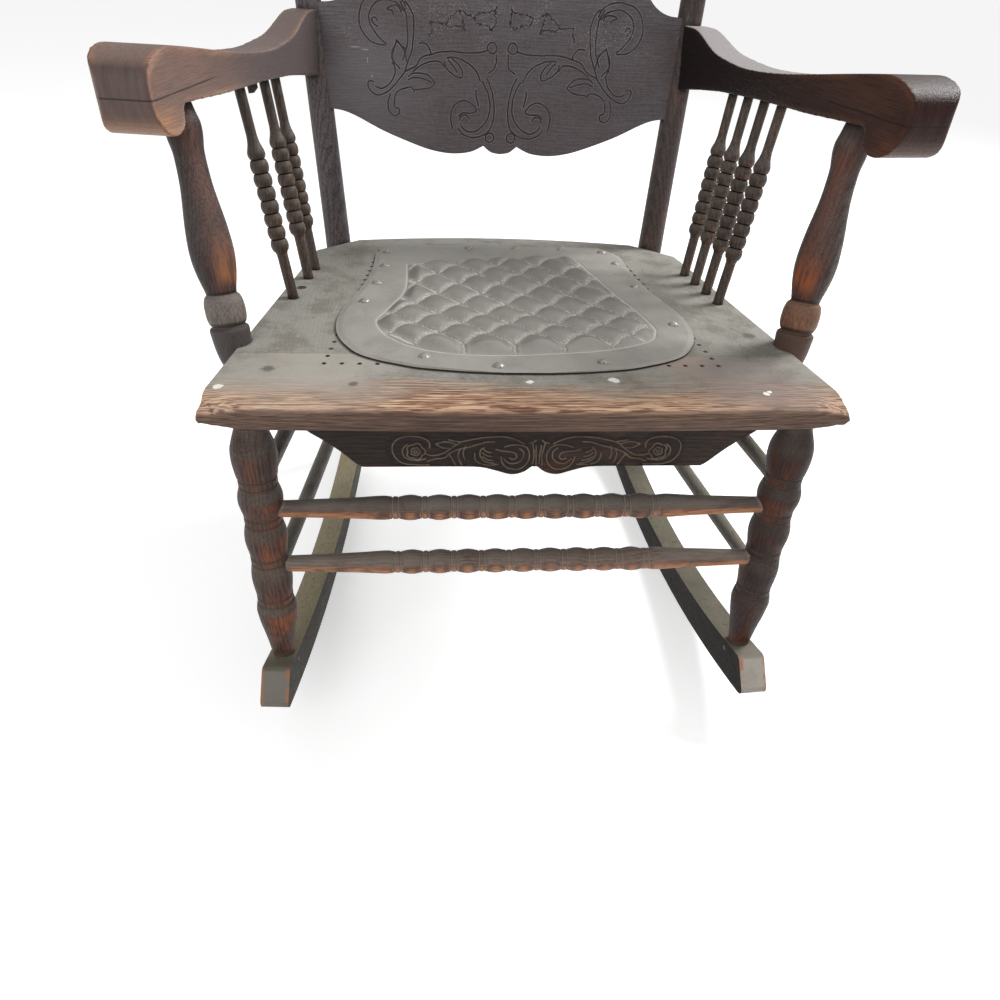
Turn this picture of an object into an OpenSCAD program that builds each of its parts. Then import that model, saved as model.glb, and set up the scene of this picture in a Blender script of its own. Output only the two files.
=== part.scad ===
// Pressed-back oak arm rocker with a tufted leather panel nailed over a cane-seat frame.
// Millimetres. X runs across the chair, Y from front to back and Z up. The origin is on the
// floor, midway between the rockers, where they touch it when the chair stands empty.

/* [Stance] */
// How far the empty chair leans back on its rockers, in degrees
rest_lean = 1.3; // [0:0.1:3]
// Length of the worn flat that the chair rests on, in degrees of the rockers' curve
flat_angle = 1.5; // [1:0.1:2]
// Distance from the seat's front edge back to the middle of the rockers' curve
rock_y = 257; // [230:1:290]

/* [Seat frame] */
// Width of the seat across its front edge
seat_w = 545; // [520:1:570]
// Width of the seat across its rear corners
seat_rear_w = 446; // [430:1:460]
// Depth of the seat from the front edge to the middle of the rear edge
seat_d = 487; // [470:1:510]
// Height of the seat's front edge above the rockers' lowest line
seat_h = 350; // [330:1:380]
// Thickness of the seat boards
seat_t = 22.5; // [20:0.5:26]
// Fall of the seat towards the back, in degrees
seat_tilt = 1.4; // [0:0.1:3]
// How far the rear edge bows out behind its ends
rear_bow = 27; // [15:1:35]
// How far the front edge bows out ahead of its corners
front_bow = 5; // [2:0.5:8]
// Depth of the front board
front_rail_d = 104; // [98:1:112]
// Depth of the rear board at its middle
back_rail_d = 87; // [80:1:95]
// Radius of the round along the front board's upper edge
nose_r = 9; // [5:0.5:11]
// Radius of the seat's front corners in plan
seat_corner_r = 10; // [5:1:15]
// Width of the caned opening at its front
opening_w = 328; // [310:1:340]
// Width of the caned opening at its rear
opening_rear_w = 276; // [260:1:290]
// Radius of the opening's corners
opening_corner_r = 64; // [40:1:68]
// Spacing of the cane holes
cane_pitch = 15.875; // [14:0.125:18]
// Diameter of the cane holes
cane_d = 4.8; // [3.5:0.1:6]
// Distance from the opening's edge to the cane holes
cane_inset = 14; // [12:0.5:16]
// Diameter of the dowels that join the seat boards and the apron
dowel_d = 9; // [7:0.5:10]
// Length of the dowels that join the seat boards
dowel_l = 44; // [36:1:50]

/* [Leather panel] */
// Width of the leather at its widest
leather_w = 356; // [344:1:360]
// Depth of the leather from front to back
leather_d = 383; // [375:1:390]
// Distance from the seat's front edge to the leather
leather_y = 59; // [55:1:64]
// Thickness of the leather's flat margin
leather_t = 3; // [2:0.25:4]
// Rise of the tufts above the margin
tuft_h = 8; // [5:0.5:12]
// Width of one tufted diamond
tuft_w = 47; // [40:1:55]
// Length of one tufted diamond from front to back
tuft_l = 58; // [50:1:66]
// Diameter of the tack heads
tack_d = 11.5; // [9:0.5:13]

/* [Front legs] */
// Distance from the seat's front corner in to the leg's axis
leg_inset = 39; // [36:1:46]
// Distance from the front edge back to the top of the leg
leg_top_y = 14; // [10:1:22]
// Greatest diameter of the front leg
leg_d = 38.6; // [35:0.2:42]
// Diameter of the front leg at its foot
leg_foot_d = 20.6; // [19:0.2:23]
// Diameter of the tenons on the legs and posts
tenon_d = 17; // [14:0.5:18]
// Length of the tenons in the seat
tenon_l = 15; // [10:1:18]

/* [Rockers] */
// Radius of the rockers' curve
rocker_r = 1060; // [950:5:1200]
// Thickness of a rocker
rocker_t = 27; // [24:0.5:30]
// Depth of a rocker at its nose
rocker_nose_h = 38; // [35:0.5:42]
// Depth of a rocker at its tail
rocker_tail_h = 26; // [24:0.5:32]
// How far the rockers reach ahead of the seat's front edge
rocker_front = 57; // [45:1:65]
// Length of a rocker from nose to tail along the floor
rocker_l = 754; // [710:2:800]
// Diameter of the pegs through the rockers
peg_d = 5; // [4:0.5:6]

/* [Stretchers] */
// Height of the upper front stretcher on the legs, as a share of the seat's height
front_upper_share = 0.693; // [0.67:0.001:0.715]
// Height of the lower front stretcher on the legs, as a share of the seat's height
front_lower_share = 0.519; // [0.497:0.001:0.543]
// Height of the upper side stretchers on the front legs, as a share of the seat's height
side_upper_share = 0.754; // [0.743:0.001:0.786]
// Height of the lower side stretchers on the front legs, as a share of the seat's height
side_lower_share = 0.46; // [0.43:0.001:0.48]
// Height of the rear stretcher, as a share of the seat's height
rear_stretcher_share = 0.543; // [0.49:0.001:0.61]
// Diameter of a front stretcher at its ends
stretcher_end_d = 15.2; // [13:0.2:17]
// Diameter of a front stretcher where it meets its beads
stretcher_mid_d = 21.8; // [19:0.2:24]
// Diameter of the beads on the front stretchers
bead_d = 23.2; // [20:0.2:25]
// Spacing of the beads on the front stretchers
bead_pitch = 26.1; // [24:0.1:28]
// Number of beads on each front stretcher
bead_count = 9; // [7:1:9]
// Diameter of the plain stretchers at their middle
plain_d = 16; // [15:0.2:18]

/* [Back] */
// Half the distance between the back posts at the seat
post_x = 206; // [200:1:212]
// Diameter of the back posts at the seat
post_d = 31; // [28:0.5:33]
// Diameter of the back posts above the arms
post_top_d = 29; // [26:0.5:31]
// Outward lean of the posts, as a slope
post_splay = 0.062; // [0.03:0.002:0.08]
// Backward lean of the posts, as a slope
post_rake = 0.15; // [0.1:0.005:0.2]
// Radius of the bend in a post at the seat
post_bend_r = 200; // [120:10:260]
// Length of a post above the seat, along the post
post_l = 388; // [375:1:420]
// Height of the panel's shoulders above the seat, along the posts
shoulder_h = 270; // [260:1:280]
// Height of the panel's lower edge at the posts, along the posts
panel_h0 = 163; // [150:1:170]
// Depth of the scallops below that edge
scallop_h = 45.5; // [35:0.5:50]
// Rise of the crest above the shoulders
crest_h = 86; // [65:1:100]
// Radius of the hollow corner at each shoulder
shoulder_r = 42; // [30:1:48]
// Thickness of the back panel
panel_t = 17; // [14:0.5:20]
// Depth of the grooves in the posts that hold the panel
groove_d = 4; // [3:0.5:5]

/* [Arms] */
// Length of an arm along its inner edge
arm_l = 419; // [405:1:430]
// Height of the arm's underside above the rockers' lowest line
arm_z = 541; // [520:1:555]
// Height of the arm at its rear end
arm_h = 63; // [56:0.5:70]
// Greatest width of an arm
arm_w = 50; // [47:1:56]
// Outward turn of the arms towards the front, in degrees
arm_toe = 8.4; // [6.5:0.1:10]
// How far the arm's inner face lies inside the post's axis
arm_inside = 5.5; // [3:0.5:7]

/* [Arm supports and spindles] */
// Distance from the front edge back to the support's place on the seat's edge
support_y = 127.5; // [122:0.5:136]
// Distance from the seat's edge out to the support's axis
support_out = 8; // [6:0.5:10]
// Greatest diameter of a support
support_d = 37.8; // [34:0.2:40]
// Distance from the front edge back to the first spindle
spindle_y = 246.5; // [238:0.5:252]
// Spacing of the spindles on the seat
spindle_pitch = 32.4; // [30:0.2:34]
// Distance from the seat's edge in to the spindles
spindle_inset = 15.5; // [13:0.5:18]
// Diameter of a spindle's beads
spindle_bead_d = 17.9; // [16:0.1:19]
// Diameter of a spindle at its foot
spindle_foot_d = 10.8; // [9.5:0.1:12]
// Diameter of a spindle at its head
spindle_head_d = 10; // [9:0.1:11]
// Depth of the sockets that hold the spindles
spindle_socket = 12; // [9:0.5:14]
// Length of the broken spindle left standing out of the left arm
stub_l = 11; // [6:0.5:16]

/* [Apron] */
// Width of the apron along the seat
apron_w = 392; // [370:1:404]
// Depth of the apron's straight lower edge below the seat
apron_h = 42.7; // [38:0.1:48]
// Thickness of the apron
apron_t = 19; // [16:0.5:22]
// Distance from the front edge back to the apron's face
apron_y = 14; // [10:0.5:20]
// How far the apron sits to one side of the middle
apron_x = 5; // [0:0.5:6]

/* [Screws] */
// Diameter of the screws' shanks
screw_d = 4.6; // [4:0.2:5.2]
// Diameter of the screws' round heads
screw_head_d = 9; // [8:0.2:10]
// Length of the screws under the head
screw_l = 46; // [42:1:50]

/* [Hidden] */
// Clearance of every tenon, dowel, groove and butted joint
gap = 0.2;
// How far a cut runs past the surface that it opens
over = 1;
$fn = 48;
oak = "#3b2a22";
oak_worn = "#5a3a26";
seat_oak = "#6b6557";
leather_grey = "#7d7a70";
steel_dark = "#4a4640";
// Span that is larger than the whole chair, for trimming by a plane
span = 3 * seat_w;
front_upper_z = front_upper_share * seat_h;
front_lower_z = front_lower_share * seat_h;
side_upper_z = side_upper_share * seat_h;
side_lower_z = side_lower_share * seat_h;
rear_stretcher_z = rear_stretcher_share * seat_h;

// Points and curves
function unit(v) = v / norm(v);
function spline(a, b, c, d, t) =
    (2 * b + (c - a) * t + (2 * a - 5 * b + 4 * c - d) * t * t
        + (3 * b - a - 3 * c + d) * t * t * t) / 2;
// A smooth line through hand-placed points, with n steps between each two
function smooth(p, n) = [
    for (i = [0 : len(p) - 2], k = [0 : n - 1])
        spline(p[max(i - 1, 0)], p[i], p[i + 1], p[min(i + 2, len(p) - 1)], k / n),
    p[len(p) - 1]
];
// The round that replaces corner p between its neighbours a and b
function fillet(a, p, b, r, n) =
    let (u = unit(a - p), v = unit(b - p), half = acos(u * v) / 2)
    let (c = p + unit(u + v) * r / sin(half), start = p + u * r / tan(half) - c)
    let (stop = p + v * r / tan(half) - c, a0 = atan2(start.y, start.x))
    let (turn = (atan2(stop.y, stop.x) - a0 + 900) % 360 - 180)
    [for (i = [0 : n]) c + r * [cos(a0 + turn * i / n), sin(a0 + turn * i / n)]];
// A closed outline whose corners are rounded by the radii in rs
function rounded(p, rs, n) = [
    for (i = [0 : len(p) - 1])
        each (rs[i] > 0
            ? fillet(p[(i + len(p) - 1) % len(p)], p[i], p[(i + 1) % len(p)], rs[i], n)
            : [p[i]])
];
function mirrored(p) = [for (i = [len(p) - 1 : -1 : 0]) [-p[i].x, p[i].y]];
function scaled(p, s) = [for (q = p) [q.x * s.x, q.y * s.y]];

// Stance: the chair is drawn level from its front edge and then set down on its rockers
module at_rest() {
    translate([0, 0, rocker_r * cos(flat_angle / 2)])
        rotate([-rest_lean, 0, 0])
            translate([0, -rock_y, -rocker_r])
                children();
}
module sides(side) {
    if (side < 0) mirror([1, 0, 0]) children();
    else children();
}
// Puts a piece's own Z axis on the line from a to b
module on_axis(a, b) {
    d = b - a;
    translate(a)
        rotate([0, acos(d.z / norm(d)), atan2(d.y, d.x)])
            children();
}
// A turned piece from its profile, a list of [height, radius]
module turned(p) {
    rotate_extrude()
        polygon([[0, p[0].x], each [for (q = p) [q.y, q.x]], [0, p[len(p) - 1].x]]);
}
// Barrel from height a to b that swells from the end radius to the mid radius, fullest at share peak
function barrel(a, b, end_r, mid_r, peak, n) = [
    for (i = [0 : n])
        let (t = i / n)
        [a + (b - a) * t, end_r + (mid_r - end_r) * sin(180 * pow(t, ln(0.5) / ln(peak)))]
];

// Seat
module seat_place() {
    translate([0, 0, seat_h])
        rotate([-seat_tilt, 0, 0])
            children();
}
function seat_z(y) = seat_h - y * tan(seat_tilt);
side_slope = (seat_w - seat_rear_w) / 2 / (seat_d - rear_bow);
function edge_x(y) = seat_w / 2 - side_slope * y;
joint_y = seat_d - back_rail_d;
rear_corner_y = seat_d - 2 * rear_bow;
// The rear corners are cut at 45 degrees, and the back posts stand against the cuts
post_r_seat = post_d / 2;
rear_edge_r = (pow(post_x, 2) + pow(rear_bow, 2)) / 2 / rear_bow;
bow_r = (pow(seat_w / 2, 2) + pow(front_bow, 2)) / 2 / front_bow;
bow_angle = asin((seat_w / 2 + seat_t) / bow_r);
round_steps = 6;
// Place of the back posts along the seat's depth
post_y_share = 0.9507;
post_y = post_y_share * seat_d;
// Distance along the 45 degree direction at which the cut just clears the post
cut_sum = post_x + post_y - (post_r_seat + 2 * gap) * sqrt(2);

module seat_outline() {
    intersection() {
        polygon(rounded([
            [-edge_x(0) - side_slope * seat_t, -seat_t], [edge_x(0) + side_slope * seat_t, -seat_t],
            [edge_x(rear_corner_y), rear_corner_y], [edge_x(rear_corner_y), seat_d + over],
            [-edge_x(rear_corner_y), seat_d + over], [-edge_x(rear_corner_y), rear_corner_y]
        ], [0, 0, 0, 0, 0, 0], round_steps));
        polygon([
            [-seat_w, -seat_t], [seat_w, -seat_t], [cut_sum - joint_y, joint_y],
            [cut_sum - seat_d - over, seat_d + over], [seat_d + over - cut_sum, seat_d + over],
            [joint_y - cut_sum, joint_y]
        ]);
        translate([0, seat_d - rear_edge_r])
            circle(r = rear_edge_r, $fn = 360);
    }
}
// How far the opening is cut into the front and rear boards, as shares of the front board's depth
opening_cut_shares = [0.077, 0.067];
opening_front = front_rail_d * (1 - opening_cut_shares[0]);
opening_rear = joint_y + front_rail_d * opening_cut_shares[1];
function opening_x(y) =
    (opening_w - (opening_w - opening_rear_w) * (y - opening_front) / (opening_rear - opening_front)) / 2;
module opening_outline() {
    polygon(rounded([
        [-opening_x(opening_front), opening_front], [opening_x(opening_front), opening_front],
        [opening_x(opening_rear), opening_rear], [-opening_x(opening_rear), opening_rear]
    ], [for (i = [0 : 3]) opening_corner_r], round_steps));
}
cane_front = opening_front - cane_inset;
cane_rear = opening_rear + cane_inset;
function cane_x(y) = opening_x(y) + cane_inset;
cane_across = round(2 * cane_x(cane_front) / cane_pitch);
cane_across_rear = round(2 * cane_x(cane_rear) / cane_pitch);
cane_along = round((cane_rear - cane_front) / cane_pitch);
cane_row_front = [
    for (i = [0 : cane_across])
        [cane_x(cane_front) * (2 * i / cane_across - 1), cane_front]
];
cane_row_rear = [
    for (i = [0 : cane_across_rear])
        [cane_x(cane_rear) * (2 * i / cane_across_rear - 1), cane_rear]
];
cane_rows_side = [
    for (i = [1 : cane_along - 1], s = [-1, 1])
        let (y = cane_front + (cane_rear - cane_front) * i / cane_along)
        [s * cane_x(y), y]
];
// A hole that would break into the line where two boards meet is left out
function clears_joints(y) = min(abs(y - front_rail_d), abs(y - joint_y)) > cane_d / 2 + over;
module cane_holes() {
    for (p = [each cane_row_front, each cane_row_rear, each cane_rows_side])
        if (clears_joints(p.y))
            translate([p.x, p.y, -seat_t - over])
                cylinder(d = cane_d, h = seat_t + 2 * over, $fn = 24);
}
// Section of the front board: a full round above and a smaller one below
module nose_section() {
    low_r = nose_r * 0.6;
    polygon([
        [bow_r - front_rail_d - seat_t, 0],
        for (i = [0 : round_steps])
            let (a = 90 * i / round_steps)
            [bow_r - nose_r + nose_r * sin(a), -nose_r + nose_r * cos(a)],
        for (i = [0 : round_steps])
            let (a = 90 * i / round_steps)
            [bow_r - low_r + low_r * cos(a), low_r - seat_t - low_r * sin(a)],
        [bow_r - front_rail_d - seat_t, -seat_t]
    ]);
}
module board(y0, y1) {
    translate([0, 0, -seat_t])
        linear_extrude(seat_t)
            intersection() {
                seat_outline();
                translate([-seat_w, y0])
                    square([2 * seat_w, y1 - y0]);
            }
}
module seat_dowel(x, y, extra) {
    translate([x, y - dowel_l / 2 - extra, -seat_t / 2])
        rotate([-90, 0, 0])
            cylinder(d = dowel_d + 2 * extra, h = dowel_l + 2 * extra, $fn = 24);
}
dowel_front_x = [cane_x(front_rail_d) + dowel_d + cane_d, edge_x(front_rail_d) - 3 * dowel_d];
dowel_rear_x = [cane_x(joint_y) + dowel_d + cane_d, cane_x(joint_y) + 4 * dowel_d];
module all_seat_dowels(extra) {
    for (s = [-1, 1], i = [0, 1]) {
        seat_dowel(s * dowel_front_x[i], front_rail_d, extra);
        seat_dowel(s * dowel_rear_x[i], joint_y, extra);
    }
}
module seat_front_rail() {
    color(oak_worn)
        at_rest()
            difference() {
                seat_place()
                    difference() {
                        intersection() {
                            translate([0, bow_r - front_bow, 0])
                                rotate([0, 0, -90 - bow_angle])
                                    rotate_extrude(angle = 2 * bow_angle, $fn = 720)
                                        nose_section();
                            translate([0, 0, -seat_t - over])
                                linear_extrude(seat_t + 2 * over)
                                    polygon(rounded([
                                        [edge_x(front_rail_d), front_rail_d - gap / 2],
                                        [-edge_x(front_rail_d), front_rail_d - gap / 2],
                                        [-edge_x(-front_bow), -front_bow], [edge_x(-front_bow), -front_bow]
                                    ], [0, 0, seat_corner_r, seat_corner_r], round_steps));
                        }
                        translate([0, 0, -seat_t - over])
                            linear_extrude(seat_t + 2 * over)
                                opening_outline();
                        cane_holes();
                        all_seat_dowels(gap);
                        all_apron_dowels(gap);
                    }
                for (s = [-1, 1])
                    sides(s)
                        leg_top_tenon(gap);
            }
}
module seat_back_rail() {
    color(seat_oak)
        at_rest()
            difference() {
                seat_place()
                    difference() {
                        board(joint_y + gap / 2, seat_d + over);
                        translate([0, 0, -seat_t - over])
                            linear_extrude(seat_t + 2 * over)
                                opening_outline();
                        cane_holes();
                        all_seat_dowels(gap);
                    }
                for (s = [-1, 1])
                    sides(s)
                        post_screw(gap);
            }
}
module seat_side_rail(s) {
    color(seat_oak)
        at_rest()
            sides(s)
                difference() {
                    seat_place()
                        difference() {
                            intersection() {
                                board(front_rail_d + gap / 2, joint_y - gap / 2);
                                translate([0, 0, -seat_t])
                                    cube([seat_w, seat_d, seat_t]);
                            }
                            translate([0, 0, -seat_t - over])
                                linear_extrude(seat_t + 2 * over)
                                    opening_outline();
                            cane_holes();
                            all_seat_dowels(gap);
                        }
                    support_shape(gap);
                    support_screw(gap);
                    for (i = [0 : 3])
                        spindle_end(i, 0, gap);
                }
}
module seat_dowels() {
    color(oak_worn)
        at_rest()
            seat_place()
                all_seat_dowels(0);
}

// Leather panel: half widths from front to back, as shares of half its width and of its depth
leather_shares = [
    [0, 0], [0.25, 0.009], [0.39, 0.018], [0.535, 0.031], [0.645, 0.051], [0.755, 0.075],
    [0.85, 0.108], [0.915, 0.153], [0.965, 0.205], [0.993, 0.262], [1, 0.335],
    [0.98, 0.415], [0.935, 0.51], [0.89, 0.63], [0.865, 0.76], [0.86, 0.9], [0.8, 0.96], [0.74, 1]
];
leather_curve = smooth(leather_shares, 4);
leather_rows = 26;
leather_cols = 28;
leather_first_share = 0.012;
// Half the leather's width at a depth share, read from the curve
function leather_half(t) = leather_w / 2 * lookup(t, [for (q = leather_curve) [q.y, q.x]]);
quilt_margin_share = 0.112;
quilt_margin = quilt_margin_share * leather_d;
quilt_share = 0.77;
quilt_front = quilt_margin * 0.85;
// One sewn crossing, as shares of a diamond's width and length off the middle of the leather's front edge
tuft_place_shares = [-0.15, 2.88];
edge_soft = 5 * leather_t;
function smoothstep(t) = let (c = min(max(t, 0), 1)) c * c * (3 - 2 * c);
// Pillow of the tufts: high in the middle of each diamond, sunk along the sewn lines
function tufts(x, y) =
    let (a = x / tuft_w - tuft_place_shares.x, b = y / tuft_l - tuft_place_shares.y)
    abs(sin(180 * (a + b)) * sin(180 * (a - b)));
function quilt_mask(x, y) =
    smoothstep((leather_half(y / leather_d) * quilt_share - abs(x)) / edge_soft)
    * smoothstep((y - quilt_front) / edge_soft)
    * smoothstep((leather_d * 0.875 - y) / edge_soft);
function leather_top(x, y, edge) =
    leather_t * (0.5 + 0.5 * smoothstep(edge / leather_t / 4))
    + tuft_h * quilt_mask(x, y) * (0.25 + 0.75 * pow(tufts(x, y), 0.6));
function leather_row_share(j) =
    leather_first_share + (1 - leather_first_share) * (1 - cos(90 * j / leather_rows)) * 0.35
    + (1 - leather_first_share) * j / leather_rows * 0.65;
function leather_xy(i, j) =
    let (t = leather_row_share(j))
    [leather_half(t) * sin(90 * (2 * i / leather_cols - 1) * 0.75) / sin(67.5), t * leather_d];
function leather_edge(i, j) =
    min(leather_half(leather_row_share(j)) - abs(leather_xy(i, j).x),
        leather_row_share(j) * leather_d, leather_d - leather_row_share(j) * leather_d);
module seat_leather() {
    cols = leather_cols + 1;
    rows = leather_rows + 1;
    count = cols * rows;
    top = [
        for (j = [0 : leather_rows], i = [0 : leather_cols])
            let (p = leather_xy(i, j))
            [p.x, p.y, gap + leather_top(p.x, p.y, leather_edge(i, j))]
    ];
    // The rim runs round the grid once, and its copy below closes the panel
    rim = [
        for (i = [0 : leather_cols]) i,
        for (j = [1 : leather_rows]) j * cols + leather_cols,
        for (i = [leather_cols - 1 : -1 : 0]) leather_rows * cols + i,
        for (j = [leather_rows - 1 : -1 : 1]) j * cols
    ];
    under = [for (k = rim) [top[k].x, top[k].y, gap]];
    n = len(rim);
    function left(j) = count + (n - j) % n;
    function right(j) = count + leather_cols + j;
    faces = [
        for (j = [0 : leather_rows - 1], i = [0 : leather_cols - 1])
            let (a = j * cols + i)
            each (i < leather_cols / 2
                ? [[a, a + cols + 1, a + 1], [a, a + cols, a + cols + 1]]
                : [[a, a + cols, a + 1], [a + 1, a + cols, a + cols + 1]]),
        for (k = [0 : n - 1])
            let (m = (k + 1) % n)
            each [[rim[k], rim[m], count + m], [rim[k], count + m, count + k]],
        for (i = [0 : leather_cols - 1]) [count + i, count + i + 1, left(1)],
        [right(0), right(1), left(1)],
        for (j = [1 : leather_rows - 2])
            each [[left(j), right(j), right(j + 1)], [left(j), right(j + 1), left(j + 1)]],
        [left(leather_rows - 1), right(leather_rows - 1), right(leather_rows)],
        for (i = [0 : leather_cols - 1])
            [left(leather_rows - 1), right(leather_rows) + i, right(leather_rows) + i + 1]
    ];
    color(leather_grey)
        at_rest()
            seat_place()
                translate([0, leather_y, 0])
                    polyhedron([each top, each under], faces);
}
// Tack places as shares of half the leather's width and of its depth
tack_shares = [
    [-0.51, 0.085], [-0.14, 0.034], [0.4, 0.06], [0.9, 0.3], [-0.87, 0.45], [-0.82, 0.6],
    [-0.79, 0.76], [-0.79, 0.9], [0.82, 0.6], [0.79, 0.82], [-0.22, 0.965], [0.12, 0.968],
    [0.45, 0.965], [0.74, 0.94]
];
module leather_tacks() {
    dome_h = tack_d / 4;
    dome_r = (pow(tack_d / 2, 2) + pow(dome_h, 2)) / 2 / dome_h;
    color(steel_dark)
        at_rest()
            seat_place()
                for (q = tack_shares)
                    translate([q.x * leather_w / 2, leather_y + q.y * leather_d, leather_t + 2 * gap])
                        intersection() {
                            translate([0, 0, dome_h - dome_r])
                                sphere(r = dome_r);
                            cylinder(d = tack_d + over, h = dome_h + over, $fn = 24);
                        }
}

// Apron: half of its lower edge, as shares of half its width and of its depth
apron_end_shares = [[1, 0], [0.985, 0.16], [0.91, 0.41], [0.85, 0.64], [0.79, 0.91], [0.76, 1]];
apron_edge_shares = [
    [0.38, 1], [0.25, 1.015], [0.175, 1.1], [0.105, 1.195], [0.05, 1.14], [0.012, 1.005]
];
apron_half = scaled([
    each smooth(apron_end_shares, 4), each smooth(apron_edge_shares, 5)
], [apron_w / 2, -apron_h]);
module front_apron() {
    color(oak)
        at_rest()
            seat_place()
                difference() {
                    translate([apron_x, apron_y + apron_t, -seat_t - gap])
                        rotate([90, 0, 0])
                            linear_extrude(apron_t)
                                polygon([each apron_half, each mirrored(apron_half)]);
                    all_apron_dowels(gap);
                }
}
apron_dowel_l = seat_t;
apron_dowel_share = 0.3;
module all_apron_dowels(extra) {
    for (i = [-1 : 1])
        translate([apron_x + i * apron_dowel_share * apron_w, apron_y + apron_t / 2,
            -seat_t - apron_dowel_l / 2 - extra])
            cylinder(d = dowel_d + 2 * extra, h = apron_dowel_l + 2 * extra, $fn = 24);
}
module apron_dowels() {
    color(oak_worn)
        at_rest()
            seat_place()
                all_apron_dowels(0);
}

// Rockers
leg_x = seat_w / 2 - leg_inset;
rocker_x = leg_x + 2;
rocker_toe = atan((rocker_x - post_x) / post_y);
function toed(y) = y / cos(rocker_toe);
module rocker_place() {
    translate([rocker_x, 0, 0])
        rotate([0, 0, rocker_toe])
            children();
}
nose_angle = -asin((rock_y + rocker_front) / rocker_r);
tail_angle = asin((rocker_l - rock_y - rocker_front) / rocker_r);
// The upper curve's centre is set back, so the rocker thins from nose to tail
thin_shift = (rocker_nose_h - rocker_tail_h) / (sin(tail_angle) - sin(nose_angle));
rocker_top_r = rocker_r - rocker_nose_h - thin_shift * sin(nose_angle);
function rocker_top(y) = rocker_r - sqrt(pow(rocker_top_r, 2) - pow(toed(y - rock_y) - thin_shift, 2));
nose_steps = 11;
tail_steps = 12;
under_angles = [
    for (i = [0 : nose_steps])
        nose_angle + (rest_lean - flat_angle / 2 - nose_angle) * i / nose_steps,
    for (i = [0 : tail_steps])
        rest_lean + flat_angle / 2 + (tail_angle - rest_lean - flat_angle / 2) * i / tail_steps
];
rocker_rounds = [nose_r * 0.7, rocker_tail_h * 0.3];
module rocker_outline() {
    bottom = [for (a = under_angles) [toed(rock_y) + rocker_r * sin(a), rocker_r - rocker_r * cos(a)]];
    upper = [
        for (i = [len(under_angles) - 1 : -1 : 0])
            let (a = under_angles[i])
            [toed(rock_y) + thin_shift + rocker_top_r * sin(a), rocker_r - rocker_top_r * cos(a)]
    ];
    n = len(under_angles);
    polygon(rounded([each bottom, each upper], [
        for (i = [0 : 2 * n - 1])
            i == 0 || i == 2 * n - 1 ? rocker_rounds[0] : i == n - 1 || i == n ? rocker_rounds[1] : 0
    ], round_steps));
}
module rocker_plan() {
    front = toed(rock_y) - rocker_r * sin(-nose_angle);
    back = toed(rock_y) + rocker_r * sin(tail_angle) + over;
    polygon(rounded([
        [-rocker_t / 2, front], [rocker_t / 2, front], [rocker_t / 2, back], [-rocker_t / 2, back]
    ], [for (i = [0 : 3]) rocker_rounds[0] * (i < 2 ? 1 : 0)], round_steps));
}
module rocker_above(extra) {
    rocker_place()
        translate([0, toed(rock_y) + thin_shift, rocker_r])
            rotate([0, 90, 0])
                cylinder(r = rocker_top_r - extra, h = 6 * rocker_t, center = true, $fn = 720);
}
foot_tenon_l = rocker_tail_h * 0.75;
module rocker(s) {
    color(oak)
        at_rest()
            sides(s)
                difference() {
                    rocker_place()
                        intersection() {
                            rotate([90, 0, 90])
                                linear_extrude(rocker_t, center = true)
                                    rocker_outline();
                            linear_extrude(2 * rocker_nose_h + rocker_r * (1 - cos(tail_angle)))
                                rocker_plan();
                        }
                    leg_foot_tenon(gap);
                    post_foot_tenon(gap);
                    pegs(gap);
                }
}
module pegs(extra) {
    for (y = [leg_foot.y, post_y])
        rocker_place()
            translate([0, toed(y), rocker_top(y) - foot_tenon_l / 2])
                rotate([0, 90, 0])
                    cylinder(d = peg_d + 2 * extra, h = rocker_t + 2 * extra, center = true, $fn = 24);
}
module rocker_pegs() {
    color(oak_worn)
        at_rest()
            for (s = [-1, 1])
                sides(s)
                    pegs(0);
}

// Front legs: a turned leg of five swellings between ringed fillets
leg_foot = [rocker_x, 0, rocker_top(0)];
leg_top = [leg_x, leg_top_y, seat_z(leg_top_y) - seat_t / cos(seat_tilt)];
leg_len = norm(leg_top - leg_foot);
ring_shares = [0.287, 0.469, 0.637, 0.789];
ring_w = leg_d / 5.5;
groove_w = leg_d / 35;
ring_r = leg_d * 0.43;
groove_r = leg_d * 0.385;
bulb_r_shares = [0.95, 0.975, 1];
foot_profile_shares = [
    [0, 0.535], [0.09, 0.69], [0.165, 0.86], [0.215, 0.945], [0.237, 0.96], [0.265, 0.9]
];
head_profile_shares = [
    [0.812, 0.9], [0.85, 0.975], [0.882, 1], [0.915, 0.97], [0.945, 0.86], [0.985, 0.68], [1, 0.64]
];
// Ring with a groove on each side, centred at height z
function ring(z, w, g, r, low_r) = [
    [z - w / 2 - g, r], [z - w / 2, low_r], [z - w / 2 + g, r],
    [z + w / 2 - g, r], [z + w / 2, low_r], [z + w / 2 + g, r]
];
leg_profile = [
    [-leg_foot_d / 2, leg_foot_d / 2],
    each smooth([for (q = foot_profile_shares) [q.x * leg_len,
        leg_foot_d / 2 + (leg_d / 2 - leg_foot_d / 2) * (q.y - 0.535) / 0.465]], 4),
    each ring(ring_shares[0] * leg_len, ring_w, groove_w, ring_r, groove_r),
    for (i = [0 : 2]) each [
        each barrel(ring_shares[i] * leg_len + ring_w / 2 + 2 * groove_w,
            ring_shares[i + 1] * leg_len - ring_w / 2 - 2 * groove_w,
            ring_r, leg_d / 2 * bulb_r_shares[i], 0.55, 9),
        each ring(ring_shares[i + 1] * leg_len, ring_w, groove_w, ring_r, groove_r)
    ],
    each smooth([for (q = head_profile_shares) [q.x * leg_len, leg_d / 2 * q.y]], 4),
    [leg_len + leg_foot_d / 4, leg_d / 2 * 0.62]
];
leg_tenon_start = leg_foot_d / 2;
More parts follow.
